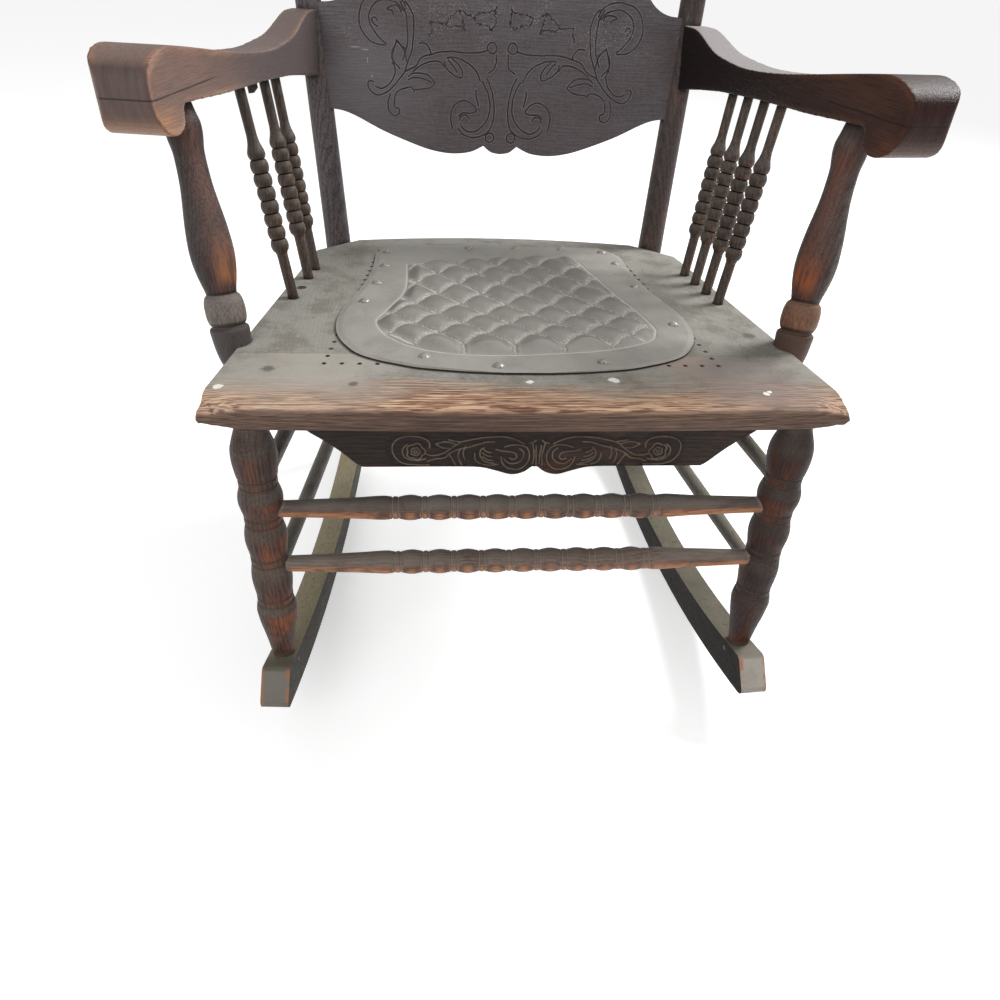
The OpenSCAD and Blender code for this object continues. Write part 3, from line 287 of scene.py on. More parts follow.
# Dust that lies on whatever faces up
def makeSettledDust():
    tree, enter = newGroup(
        "settledDust", {"Vector": None, "Amount": 0.5, "Patches": 14.0, "Steep": 0.1, "Level": 0.95}, ("Dust",))
    up = normalOf(tree).split()["Z"]
    cloud = enter["Vector"].noise(enter["Patches"], 6, 0.62)
    speck = enter["Vector"].noise(700, 2, 0.5)
    amount = up.spread(enter["Steep"], enter["Level"]) * cloud.spread(0.2, 0.65)
    amount = (amount * speck.spread(0.2, 0.7, 0.7, 1) * enter["Amount"]).clamped()
    addNode(tree, "NodeGroupOutput", {"Dust": amount})
    return tree


oakGrain = makeOakGrain()
wornEdges = makeWornEdges()
settledDust = makeSettledDust()

grainTurn = {"x": (0, 0, 0), "y": (0, 0, -90), "z": (0, 90, 0)}


# A stained oak finish, with the stain rubbed through on edges and in streaks
def oakMaterial(name, grain, finish, touch=None, edges=None):
    material, tree, place = startMaterial(name)
    turn = Vector(grainTurn[grain]) + Vector((0, 0, finish["askew"]))
    along = shade(tree, "ShaderNodeMapping", {
        "Vector": place, "Rotation": tuple(math.radians(a) for a in turn), "Location": finish["shift"]})
    wood = useGroup(tree, oakGrain, {"Vector": along, "Rings": finish["rings"], "Ring Width": finish["ringWidth"],
                                     "Pores": finish["pores"], "Contrast": finish["contrast"],
                                     "Dark": finish["dark"], "Mid": finish["mid"], "Light": finish["light"]})
    wear = useGroup(tree, wornEdges, {"Vector": place, "Radius": finish["edge"], "Patches": finish["patches"]})
    steep, level = finish["dustFrom"]
    dust = useGroup(tree, settledDust, {
        "Vector": place, "Amount": finish["dustAmount"], "Steep": steep, "Level": level})
    rubbed = along.stretched(finish["patchShape"]).noise(1, 3, 0.55).spread(*finish["rubbed"])
    rubbed = rubbed * wood["Streak"].spread(0.0, 0.8, 0.6, 1)
    rubbed = (rubbed * (1 - wear["Hollow"])).clamped()
    if finish["bulges"]:
        level = abs(normalOf(tree).split()[finish["bulges"]] + finish["bulgeShift"])
        rubbed = rubbed * level.spread(0.34, 0.04)
    if finish["side"]:
        rubbed = rubbed * facing(tree, finish["side"], finish["facingFrom"], 0.95)
    edge = wear["Edge"]
    if edges:
        patch = along.stretched((12, 40, 40)).noise(1, 4, 0.6)
        edge = stored(tree, edges) * patch.spread(0.3, 0.55, 0.15, 1)
    bare = (edge * finish["edgeWear"]).maths("MAXIMUM", rubbed * finish["rubbedAmount"]).clamped()
    bareWood = mixColour(tree, rubbed.spread(0.1, 0.9, 0, 0.75), finish["bareDark"], finish["bareLight"])
    bareWood = bareWood.coat(finish["bareLight"], wood["Streak"] * 0.35)
    colour = mixColour(tree, bare, wood["Color"], bareWood)
    settled = (dust["Dust"] * (1 - edge * 0.8)).clamped()
    colour = colour.coat(finish["dust"], settled)
    # painted shade in the hollows, dark by default; the legs and the beaded stretchers take pale dust there instead
    colour = colour.coat(finish["grimeColour"], wear["Hollow"] * finish["grime"])
    if touch:
        colour = touch(tree, place, along, wood, colour)
    rough = (dust["Dust"] * 0.3 + finish["rough"] - wood["Streak"] * 0.12).clamped()
    finishMaterial(tree, wood["Height"], finish["bump"], 0.0006, {
        "Base Color": colour, "Roughness": rough, "Specular IOR Level": finish["specular"]})
    return material


darkLook = {
    "dark": "#211a19", "mid": "#463b38", "light": "#605450",
    "bareDark": "#603626", "bareLight": "#a06c4c",
    "dust": "#7a7670", "dustAmount": 0.35, "dustFrom": (0.1, 0.95), "bulges": None, "bulgeShift": 0,
    "grimeColour": "#14100f", "grime": 0.85,
    "rings": 0.12, "ringWidth": 0.0036, "pores": 0.75, "contrast": 0.8, "shift": (0, 0, 0), "askew": 0,
    "edge": 0.0026, "edgeWear": 0.7, "patches": 26.0, "side": None,
    "rubbed": (0.5, 0.68), "rubbedAmount": 0.6, "patchShape": (14, 38, 38), "facingFrom": -0.2,
    "rough": 0.5, "bump": 0.5, "specular": 0.25,
}


def look(*bases, **changes):
    made = dict(darkLook)
    for base in (*bases, changes):
        made.update(base)
    return made


print("materials: groups built")
makeCamera()
print("camera placed")

# ---- stage
stageSet = {"floor": 60.0, "floorColour": 0.82, "fill": 0.5, "sky": 0.5}
# place, width and power; both lamps look at the middle of the chair
lampSet = {"keyLamp": ((1.8, 0.75, 2.0), 1.0, 68), "frontLamp": ((-1.0, -2.1, 1.5), 1.8, 24)}
lampTarget = (0, 0, 0.35)


def makeStage():
    bpy.ops.object.select_all(action="DESELECT")
    bpy.ops.mesh.primitive_plane_add(size=stageSet["floor"], location=(0, 0, -0.0006))
    floor = bpy.context.object
    floor.name = "studioFloor"
    material = bpy.data.materials.new("studioFloor")
    material.use_nodes = True
    tree = material.node_tree
    tree.nodes.clear()
    rays = shades(tree, "ShaderNodeLightPath")
    seen = rays["Is Camera Ray"].maths("MAXIMUM", rays["Is Glossy Ray"].maths("MAXIMUM", rays["Is Transmission Ray"]))
    pale = shade(tree, "ShaderNodeBsdfDiffuse", {"Color": (stageSet["floorColour"],) * 3 + (1,)})
    glow = shade(tree, "ShaderNodeEmission", {"Color": (1, 1, 1, 1), "Strength": seen * stageSet["fill"]})
    both = shade(tree, "ShaderNodeAddShader", {0: pale, 1: glow})
    addNode(tree, "ShaderNodeOutputMaterial", {0: both})
    floor.data.materials.append(material)
    world = bpy.data.worlds.new("softRoom")
    bpy.context.scene.world = world
    world.use_nodes = True
    tree = world.node_tree
    tree.nodes.clear()
    strength = shades(tree, "ShaderNodeLightPath")["Is Camera Ray"].spread(0, 1, stageSet["sky"], 1)
    back = shade(tree, "ShaderNodeBackground", {"Color": (1, 1, 1, 1), "Strength": strength})
    addNode(tree, "ShaderNodeOutputWorld", {0: back})


def makeLamp(name, place, size, power):
    data = bpy.data.lights.new(name, "AREA")
    data.shape = "DISK"
    data.size = size
    data.energy = power
    lamp = bpy.data.objects.new(name, data)
    bpy.context.scene.collection.objects.link(lamp)
    lamp.location = place
    lamp.rotation_mode = "QUATERNION"
    lamp.rotation_quaternion = (Vector(lampTarget) - Vector(place)).to_track_quat("-Z", "Y")


makeStage()
for name, setting in lampSet.items():
    makeLamp(name, *setting)
scene = bpy.context.scene
scene.view_settings.view_transform = "Standard"
print("stage and light made")


# ---- pieces that are copied from the CAD's own mesh
def setMode(mode):
    bpy.ops.object.mode_set(mode=mode)


def makeActive(piece):
    bpy.ops.object.select_all(action="DESELECT")
    piece.select_set(True)
    bpy.context.view_layer.objects.active = piece


def selectNone(kind):
    bpy.ops.mesh.select_mode(type=kind)
    bpy.ops.mesh.select_all(action="DESELECT")


def startPiece(node, name):
    piece = bpy.data.objects.new(name, nodes[node].data.copy())
    scene.collection.objects.link(piece)
    makeActive(piece)
    setMode("EDIT")
    bpy.ops.mesh.select_all(action="SELECT")
    bpy.ops.mesh.remove_doubles(threshold=2e-6)
    bpy.ops.mesh.customdata_custom_splitnormals_clear()
    setMode("OBJECT")
    return piece


easeSet = {"sharp": 50, "segments": 2, "profile": 0.6}


# Joins faces that are flat to within an angle, and eases the long sharp edges by a width. The rims of small
# holes are short edges and stay as they are.
def easedPiece(node, name, flat, width, shortest):
    piece = startPiece(node, name)
    setMode("EDIT")
    bpy.ops.mesh.select_all(action="SELECT")
    bpy.ops.mesh.dissolve_limited(angle_limit=math.radians(flat))
    # leaving edit mode numbers the edges afresh, which the bevel follows
    setMode("OBJECT")
    setMode("EDIT")
    selectNone("EDGE")
    work = bmesh.from_edit_mesh(piece.data)
    for edge in work.edges:
        if len(edge.link_faces) == 2 and edge.calc_length() > shortest:
            edge.select = math.degrees(edge.calc_face_angle(0)) > easeSet["sharp"]
    bmesh.update_edit_mesh(piece.data)
    bpy.ops.mesh.bevel(offset=width, segments=easeSet["segments"], profile=easeSet["profile"], clamp_overlap=True)
    setMode("OBJECT")
    return piece


def setMaterial(piece, material):
    piece.data.materials.clear()
    piece.data.materials.append(material)


def finishPiece(piece, node, material, smooth=32):
    setMaterial(piece, material)
    makeActive(piece)
    bpy.ops.object.shade_smooth_by_angle(angle=math.radians(smooth))
    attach(piece, "root")
    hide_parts(node)


def dress(material, *names):
    for name in names:
        setMaterial(nodes[name], material)


# ---- turned legs, posts, supports and spindles keep the CAD's shape
legLook = {
    "dark": "#201816", "mid": "#483934", "light": "#64524b", "bulges": "Z", "bulgeShift": 0.06,
    "rubbed": (0.34, 0.62), "patchShape": (16, 30, 30), "bareDark": "#5a2e20", "bareLight": "#9c5834",
    "dustFrom": (-0.02, 0.3), "dustAmount": 0.45, "dust": "#746c63", "grimeColour": "#685f57",
    "grime": 0.6, "contrast": 0.95, "pores": 0.9, "specular": 0.12, "edgeWear": 0.25,
}
supportLook = {"dustFrom": (0.0, 0.6), "facingFrom": 0.15, "patchShape": (6, 26, 26), "rubbed": (0.3, 0.6),
               "grime": 0.7, "contrast": 0.9, "pores": 0.9, "specular": 0.15}


# how the supports lean out and back, and where they stand
leanSet = {"out": 0.1, "back": 0.23, "x": 0.265, "y": 0.14}


# A support: its ball and foot, and the warm rubbed place low on its vase
def markSupport(setting):
    def mark(tree, place, along, wood, colour):
        # height along the leaning support, as if it stood upright
        lean = (leanSet["out"] * setting["sign"], leanSet["back"], 1)
        upright = place.vectorMaths("DOT_PRODUCT", lean, output="Value")
        z = upright + (leanSet["back"] * leanSet["y"] - leanSet["out"] * leanSet["x"])
        wander = place.noise(26, 3) * 0.02 + (z - 0.01)
        low = wander.spread(setting["warmTop"], setting["warmTop"] - 0.06) * facing(tree, setting["side"], 0.5, 0.98)
        low = low * wander.spread(setting["neck"] + 0.002, setting["neck"] + 0.018)
        streaks = place.stretched((260, 260, 18)).noise(1, 3, 0.6)
        low = low * streaks.spread(0.38, 0.58, 0.25, 1)
        colour = colour.coat(setting["warm"], low * setting["warmAmount"])
        ball = z.spread(setting["neck"], setting["neck"] - 0.002) * wood["Streak"].spread(0, 0.9, 0.35, 0.85)
        colour = colour.coat(setting["ball"], ball)
        foot = z.spread(setting["foot"], setting["foot"] - 0.002)
        colour = colour.coat(setting["footColour"], foot * 0.8)
        for height in (setting["neck"], setting["foot"]):
            groove = abs(z - height).spread(0.0024, 0.0006)
            colour = colour.coat("#201816", groove * 0.7)
        return colour
    return mark


supportMarks = {"neck": 0.3954, "foot": 0.3675, "warmTop": 0.46}
turnedSet = {
    "front_leg_left": (look(legLook, side=(0.62, -0.75, 0.1), facingFrom=0.1, rubbedAmount=0.75,
                            shift=(0, 0.25, 0.06)), None),
    "front_leg_right": (look(legLook, side=(-0.75, -0.6, 0.1), rubbedAmount=0.5, mid="#2c211e",
                             light="#3e312d", dustAmount=0.22, shift=(0.3, -0.2, 0.05),
                             bareLight="#7c422a"), None),
    "arm_support_left": (
        look(supportLook, side=(0.8, -0.6, 0.1), rubbedAmount=0.5, shift=(0.7, 0.29, 0.05), mid="#383130",
             light="#544c49", bareDark="#603e38", bareLight="#8e665c"),
        markSupport({**supportMarks, "sign": -1, "warmAmount": 0.72, "warm": "#b0744a",
                     "side": (0.9, -0.44, 0), "ball": "#827973", "footColour": "#403b3a"})),
    "arm_support_right": (
        look(supportLook, side=(-0.65, -0.75, 0.1), rubbedAmount=0.8, shift=(0.9, -0.2, 0.04), facingFrom=0.45,
             light="#685e58", bareDark="#4a2820", bareLight="#6c4032"),
        markSupport({**supportMarks, "sign": 1, "warmAmount": 0.8, "warm": "#9e5a34",
                     "side": (-0.85, -0.52, 0), "ball": "#88624c", "footColour": "#4a3c37"})),
    "back_post_left": (look(shift=(0.2, 0.3, 0.3), rubbedAmount=0.12, mid="#564e4e", light="#7a7171"), None),
    "back_post_right": (look(shift=(0.4, -0.3, 0.3), rubbedAmount=0.15, light="#58504f"), None),
}
for node, (finish, touch) in turnedSet.items():
    dress(oakMaterial("oak_" + node, "z", finish, touch), node)

spindleOak = oakMaterial("oak_spindles", "z", look(
    light="#6c5d52", mid="#4b3e36", rubbed=(0.46, 0.66), patches=60.0, patchShape=(40, 40, 40),
    bulges="Z", bulgeShift=0.06, bareDark="#603e2e", bareLight="#a87450", side=(0.3, -0.9, 0),
    facingFrom=0.2, rubbedAmount=0.4, shift=(0, 0.02, 0.04), grime=1.0, grimeColour="#0e0b0a",
    dustFrom=(0.0, 0.6)))
dress(spindleOak, *(node for node in nodes if node.startswith("spindle_") or node == "broken_spindle_left"))

beadLook = {
    "dark": "#241b18", "mid": "#4c3d37", "light": "#6c5b52", "rubbed": (0.26, 0.5),
    "patchShape": (30, 30, 30), "rubbedAmount": 1.0, "side": (0.1, -0.75, -0.55), "facingFrom": 0.25,
    "bareDark": "#764630", "bareLight": "#bc825c", "dustAmount": 0.75, "dustFrom": (0.1, 0.8),
    "dust": "#7e776f", "grimeColour": "#a0988e", "grime": 0.78, "edge": 0.0016,
    "bulges": "X", "contrast": 0.8, "edgeWear": 0.12,
}
dress(oakMaterial("oak_beaded", "x", look(beadLook)), "front_stretcher_upper", "rear_stretcher")
dress(oakMaterial("oak_beaded_lower", "x", look(
    beadLook, mid="#6a584e", light="#907c6e", shift=(0.2, 0.33, -0.2))), "front_stretcher_lower")
plainOak = oakMaterial("oak_plain", "y", look(mid="#544d44", light="#70675c", contrast=0.5,
                                              dustAmount=0.7, dust="#848274", rubbedAmount=0.2))
dress(plainOak, *(node for node in nodes if node.startswith("side_stretcher")))
dress(oakMaterial("oak_hidden", "z", look()), "seat_dowels", "apron_dowels", "rocker_pegs")
print("turned pieces dressed")


# ---- tacks and screws
def metalMaterial(name, base, dull, rough):
    material, tree, place = startMaterial(name)
    stain = place.noise(420, 4, 0.6).spread(0.35, 0.65)
    dust = useGroup(tree, settledDust, {"Vector": place, "Amount": 0.35, "Patches": 200.0})
    colour = mixColour(tree, stain, base, dull).coat("#96928a", dust["Dust"])
    finishMaterial(tree, stain, 0.4, 0.0003, {
        "Base Color": colour, "Metallic": 0.8 - stain * 0.5, "Roughness": stain * 0.3 + rough})
    return material


dress(metalMaterial("tarnishedTack", "#c0bcb4", "#7c736a", 0.5), "leather_tacks")
dress(metalMaterial("tarnishedScrew", "#78726a", "#423a34", 0.4), "arm_screws", "frame_screws")

# ---- seat boards, grey with dust, and brown where the front edge is rubbed
seatSet = {
    "dark": "#5c554d", "mid": "#8c8981", "light": "#a3a098",
    "bareDark": "#80604a", "bareLight": "#aa927a",
    "dust": "#94938b", "dustAmount": 0.6, "edgeWear": 0.35, "contrast": 0.5,
    "rubbed": (0.62, 0.8), "rubbedAmount": 0.25, "rings": 0.14, "pores": 0.35, "rough": 0.7,
    "edge": 0.0016, "grime": 0.75, "bump": 0.35,
}
seatMarks = {
    # white paint: x, y in the chair's place, radius
    "paint": [(-0.2595, -0.238, 0.0042), (0.0003, -0.2266, 0.0032), (0.0752, -0.2219, 0.0048),
              (0.2035, -0.2474, 0.0030), (0.2075, -0.2440, 0.0022), (0.1714, -0.0964, 0.0040)],
    # dark oval marks
    "stain": [(-0.2254, -0.2026, 0.0055), (0.2338, -0.1184, 0.0065), (-0.15, -0.232, 0.004)],
    "blotch": "#686258", "grit": "#a09e96", "paintColour": "#e2e0d8", "stainColour": "#4e4842",
    # where the dusty top gives way to rubbed brown
    "rubbedFrom": -0.216, "rubbedFull": -0.262,
    "nose": {"Rings": 0.4, "Ring Width": 0.0016, "Pores": 0.9, "Contrast": 1.3, "Dark": "#603c2d",
             "Mid": "#b08467", "Light": "#d4b090"},
    "face": {"Rings": 0.12, "Ring Width": 0.0024, "Pores": 0.6, "Contrast": 1.1, "Dark": "#322520",
             "Mid": "#5c483e", "Light": "#7c6454"},
    # open pores and pale flecks between them: scale, from, amount, colour
    "flecks": [(560, 0.53, 0.8, "#4e3226"), (430, 0.55, 0.65, "#e0c09e")],
    # pale dust, a cleaner place and brown dust: place, radius, soft rim, amount, colour
    "patches": [((-0.19, -0.205, 0), 0.07, 0.6, 0.55, "#b0a99f"),
                ((0.15, -0.185, 0), 0.028, 0.5, 0.5, "#a68e80"),
                ((0.2, -0.228, 0), 0.055, 0.6, 0.7, "#786c68")],
}
fromAbove = (1, 1, 0)


def weather(place, colour):
    flat = place.stretched(fromAbove)
    blotch = flat.noise(24, 6, 0.68).spread(0.44, 0.62)
    grit = place.noise(420, 3, 0.7).spread(0.35, 0.65)
    scuff = flat.stretched((60, 160, 1)).noise(1, 4, 0.6).spread(0.66, 0.74)
    colour = colour.coat(seatMarks["blotch"], blotch * 0.7).coat(seatMarks["grit"], grit * 0.35)
    return colour.coat(seatMarks["stainColour"], scuff * 0.4)


def markSpots(tree, place, colour):
    flat = place.stretched(fromAbove)
    top = facing(tree, (0, 0, 1), 0.5, 0.9)
    for x, y, radius in seatMarks["stain"]:
        colour = colour.coat(seatMarks["stainColour"], flat.spot((x, y, 0), radius, 0.5, 0.4) * 0.7 * top)
    for x, y, radius in seatMarks["paint"]:
        colour = colour.coat(seatMarks["paintColour"], flat.spot((x, y, 0), radius, 0.7, 0.12) * top)
    return colour


def markSeat(tree, place, along, wood, colour):
    return markSpots(tree, place, weather(place, colour))


# The front board: brown open grain over the rounded nose, a dark face below it, and painted shade on the faces that
# point down
def markFrontRail(tree, place, along, wood, colour):
    cloud = place.stretched((9, 30, 30)).noise(1, 4, 0.6)
    y = (cloud - 0.5) * 0.07 + place.split()["Y"]
    brown = y.spread(seatMarks["rubbedFrom"], seatMarks["rubbedFull"])
    bend = place.stretched((8, 24, 24)).noise(1, 3, 0.5, "Color")
    bent = bend.vectorMaths("MULTIPLY_ADD", (0.0, 0.006, 0.006), along)
    nose = useGroup(tree, oakGrain, {"Vector": bent, **seatMarks["nose"]})
    colour = weather(place, colour).coat(nose["Color"], brown * 0.9)
    for scale, low, amount, tint in seatMarks["flecks"]:
        fleck = bent.stretched((30, scale, scale)).noise(1, 2, 0.5).spread(low, low + 0.08)
        colour = colour.coat(tint, fleck * brown * amount)
    for point, radius, soft, amount, tint in seatMarks["patches"]:
        colour = colour.coat(tint, place.stretched(fromAbove).spot(point, radius, 0.6, soft) * amount)
    face = useGroup(tree, oakGrain, {"Vector": along, **seatMarks["face"]})
    colour = colour.coat(face["Color"], facing(tree, (0, -1, 0), 0.6, 0.98))
    # painted shade under the nose, on faces that point down
    colour = colour.coat(seatMarks["face"]["Dark"], facing(tree, (0, 0, -1), 0.3, 0.8))
    return markSpots(tree, place, colour)


def cutFaces(work, faces, point, normal):
    around = [*dict.fromkeys(e for f in faces for e in f.edges), *dict.fromkeys(v for f in faces for v in f.verts)]
    bmesh.ops.bisect_plane(work, geom=faces + around, plane_co=point, plane_no=normal, dist=1e-6)


# The front corners are worn round, the lower edge most of all
def wearCorners(piece):
    corner = {"x": 0.2725, "y": -0.2765, "reach": 0.036, "step": 0.004, "middle": 0.3435, "half": 0.0115,
              "pull": 0.0075, "lift": {1: 0.0045, -1: 0.0075}, "drop": 0.0035}
    setMode("EDIT")
    work = bmesh.from_edit_mesh(piece.data)
    cuts = [((0, 0, corner["middle"] + share * corner["half"]), (0, 0, 1)) for share in (-0.85, -0.5, 0, 0.5, 0.85)]
    for k in range(1, 10):
        cuts += [((sign * (corner["x"] - k * corner["step"]), 0, 0), (1, 0, 0)) for sign in (-1, 1)]
        cuts.append(((0, corner["y"] + k * corner["step"], 0), (0, 1, 0)))
    for point, normal in cuts:
        cutFaces(work, [f for f in work.faces if f.calc_center_median().y < -0.15], point, normal)
    for vertex in work.verts:
        sign = 1 if vertex.co.x > 0 else -1
        away = math.hypot(abs(vertex.co.x) - corner["x"], vertex.co.y - corner["y"])
        if away < corner["reach"]:
            share = (1 - away / corner["reach"]) ** 1.2
            level = max(-1, min(1, (vertex.co.z - corner["middle"]) / corner["half"]))
            rough = 1 + 0.5 * noise.noise(vertex.co * 130)
            vertex.co.z -= share * level * rough * (corner["drop"] if level > 0 else corner["lift"][sign])
            pull = share * corner["pull"] * rough * abs(level) ** 1.6
            vertex.co.x -= sign * pull * 0.8
            vertex.co.y += pull * 0.6
    bmesh.update_edit_mesh(piece.data)
    setMode("OBJECT")


boards = {
    "seat_front_rail": ("x", (0, 0.19, -0.30), markFrontRail),
    "seat_back_rail": ("x", (0.4, 0.1, -0.28), markSeat),
    "seat_side_rail_left": ("y", (0.6, 0.3, -0.3), markSeat),
    "seat_side_rail_right": ("y", (0.8, -0.3, -0.28), markSeat),
}
for node, (grain, shift, touch) in boards.items():
    piece = easedPiece(node, node + "_worn", 0.3, 0.0011, 0.003)
    if node == "seat_front_rail":
        wearCorners(piece)
    finishPiece(piece, node, oakMaterial("oak_" + node, grain, look(seatSet, shift=shift), touch))
print("seat boards dressed")

# ---- arms: an upper board with a block glued under its nose
armSet = {"voxel": 0.0013, "rounds": 4, "joint": 0.5573, "jointEnd": -0.07, "jointWidth": 0.0009,
          "edgeRounds": 18}


# Stores how proud each point stands of the points round it
def storeEdges(piece, name, low, high, rounds):
    mesh = piece.data
    count = len(mesh.vertices)
    ends = numpy.empty(len(mesh.edges) * 2, numpy.int32)
    places = numpy.empty(count * 3)
    normals = numpy.empty(count * 3)
    mesh.edges.foreach_get("vertices", ends)
    mesh.vertices.foreach_get("co", places)
    mesh.vertices.foreach_get("normal", normals)
    a, b = ends.reshape(-1, 2).T
    shares = 1 / numpy.maximum(1, numpy.bincount(ends, minlength=count))

    def around(values):
        return (numpy.bincount(a, values[b], count) + numpy.bincount(b, values[a], count)) * shares

    places, normals = places.reshape(-1, 3).T, normals.reshape(-1, 3).T
    proud = sum((places[k] - around(places[k])) * normals[k] for k in range(3))
    for k in range(rounds):
        proud = 0.5 * proud + 0.5 * around(proud)
    data = mesh.attributes.new(name, "FLOAT", "POINT")
    data.data.foreach_set("value", numpy.clip((proud - low) / (high - low), 0, 1).astype(numpy.float32))


armLooks = {
    "left": {
        "sign": 1, "block": "#b07e58", "rear": "#484041", "rearAmount": 0.95, "rearTop": 0.6,
        "front": ("#483c3a", "#554846"), "gloss": 0.0,
        "look": {"mid": "#765f56", "light": "#9e8073", "dark": "#3e2e29",
                 "bareDark": "#825e50", "bareLight": "#c29a7c", "rubbedAmount": 0.34,
                 "edgeWear": 0.9, "dustAmount": 0.3, "specular": 0.25}},
    # the right arm's colours, its front and its rear sides are dark: painted shade of its shadowed inner side
    "right": {
        "sign": -1, "block": "#603e2e", "rear": "#1e1a1b", "rearAmount": 0.85, "rearTop": 0,
        "front": ("#281816", "#38231f"), "gloss": 0.78,
        "look": {"mid": "#2e1d1a", "light": "#402a25", "dark": "#1e1412",
                 "bareDark": "#4a2e24", "bareLight": "#704a37", "rubbedAmount": 0.35,
                 "edgeWear": 0.6, "dustAmount": 0.25, "specular": 0.12}},
}


def markArm(setting):
    def mark(tree, place, along, wood, colour):
        parts = place.split()
        width = armSet["jointWidth"]
        level = place.noise(14, 2) * 0.0016 + (parts["Z"] - (armSet["joint"] + 0.0008))
        # the glued block under the nose takes its own warmer wood colour; on the left arm this is also a painted
        # highlight on its roll
        block = level.spread(0.001, -0.018) * parts["Y"].spread(-0.15, -0.19)
        colour = colour.coat(setting["block"], block * wood["Streak"].spread(0.2, 0.8, 0.3, 0.8))
        # the sides towards the back take the rear colour; on the right arm it is painted shade
        rear = parts["Y"].spread(-0.15, 0.06) * facing(tree, (0, 0, 1), 0.85, 0.4)
        colour = colour.coat(setting["rear"], rear * setting["rearAmount"])
        colour = colour.coat("#605554", parts["Y"].spread(-0.1, 0.03) * setting["rearTop"])
        # a painted sheen on the top towards the back, which only the right arm has
        paintedSheen = parts["Y"].spread(-0.1, 0.0) * facing(tree, (0, 0, 1), 0.6, 0.95)
        colour = colour.coat("#a6a1a1", paintedSheen * setting["gloss"])
        endGrain = place.stretched((260, 60, 40)).noise(1, 3)
        endGrain = mixColour(tree, endGrain.spread(0.35, 0.65), *setting["front"])
        colour = colour.coat(endGrain, facing(tree, (0, -1, 0.1), 0.45, 0.85) * 0.85)
        line = abs(level).spread(width, width * 0.4) * parts["Y"].spread(armSet["jointEnd"], armSet["jointEnd"] - 0.04)
        return colour.coat("#1e1614", line * 0.8)
    return mark


for side, setting in armLooks.items():
    piece = startPiece("arm_" + side, "arm_%s_worn" % side)
    remesh = piece.modifiers.new("soften", "REMESH")
    remesh.mode = "VOXEL"
    remesh.voxel_size = armSet["voxel"]
    bpy.ops.object.modifier_apply(modifier="soften")
    ease = piece.modifiers.new("ease", "SMOOTH")
    ease.factor = 0.5
    ease.iterations = armSet["rounds"]
    bpy.ops.object.modifier_apply(modifier="ease")
    storeEdges(piece, "edge", 0.000006, 0.00004, armSet["edgeRounds"])
    sign = setting["sign"]
    finishPiece(piece, "arm_" + side, oakMaterial("oak_arm_" + side, "y", look(
        setting["look"], shift=(0.3, 0.1 * sign, -0.6), askew=8.4 * sign, contrast=0.24, rings=0.06, pores=0.3,
        side=(0.9 * sign, -0.2, 0.4), rubbed=(0.3, 0.7), patchShape=(5, 12, 12)), markArm(setting), "edge"), smooth=60)
print("arms dressed")

# ---- rockers
rockerLooks = {
    "left": {"nose": "#7a7670", "top": "#b2a78b", "noseTop": "#625f56",
             "inner": "#3a372b", "innerWay": 1, "innerAmount": 0.5,
             "look": {"shift": (0.1, 0.3, -0.05), "mid": "#3e3a2e", "light": "#585242"}},
    "right": {"nose": "#a49d94", "top": "#686458", "noseTop": "#807a70",
              "inner": "#1e1a16", "innerWay": -1, "innerAmount": 0.92,
              "look": {"shift": (0.7, -0.3, -0.05), "mid": "#2a251f", "light": "#3e382f"}},
}
# the noses: middle and half width across, the rubbed rims' reach in from the sides, and where the top turns grey
noseSet = {"middle": 0.23865, "half": 0.01345, "rim": (0.0042, 0.0016), "top": (-0.272, -0.3)}


def markRocker(setting):
    def mark(tree, place, along, wood, colour):
        parts = place.split()
        up = facing(tree, (0, 0, 1), 0.7, 0.93)
        top = up * wood["Streak"].spread(0.1, 0.9, 0.6, 1)
        chips = place.noise(170, 3, 0.6).spread(0.6, 0.68)
        colour = colour.coat(setting["top"], top * 0.92).coat("#3c362c", chips * top * 0.5)
        # the inner side takes the inner colour; on the right rocker it is painted shade on the side turned from the
        # light
        inner = facing(tree, (setting["innerWay"], 0, 0), 0.6, 0.9)
        colour = colour.coat(setting["inner"], inner * setting["innerAmount"])
        front = facing(tree, (0, -0.75, 0.66), 0.8, 0.93).maths("MAXIMUM", facing(tree, (0, -1, 0), 0.45, 0.7))
        patch = place.noise(60, 4, 0.65).spread(0.3, 0.65, 0.75, 0.95)
        colour = colour.coat(setting["nose"], front * patch)
        colour = colour.coat(setting["noseTop"], parts["Y"].spread(*noseSet["top"]) * up * 0.85)
        across = abs(abs(parts["X"]) - noseSet["middle"])
        rim = across.spread(*(noseSet["half"] - reach for reach in noseSet["rim"])) * front
        return colour.coat("#a47052", rim * place.noise(90, 3, 0.6).spread(0.36, 0.52) * 0.8)
    return mark


for side, setting in rockerLooks.items():
    piece = easedPiece("rocker_" + side, "rocker_%s_worn" % side, 0.2, 0.0016, 0.004)
    finishPiece(piece, "rocker_" + side, oakMaterial("oak_rocker_" + side, "y", look(
        setting["look"], dustAmount=1.0, contrast=0.5, dust="#928c7a", dustFrom=(0.35, 0.8),
        bareDark="#804e34", bareLight="#ba805a", rubbed=(0.56, 0.74), rubbedAmount=0.3,
        patches=70.0, edge=0.0022, specular=0.05), markRocker(setting)))
print("rockers dressed")

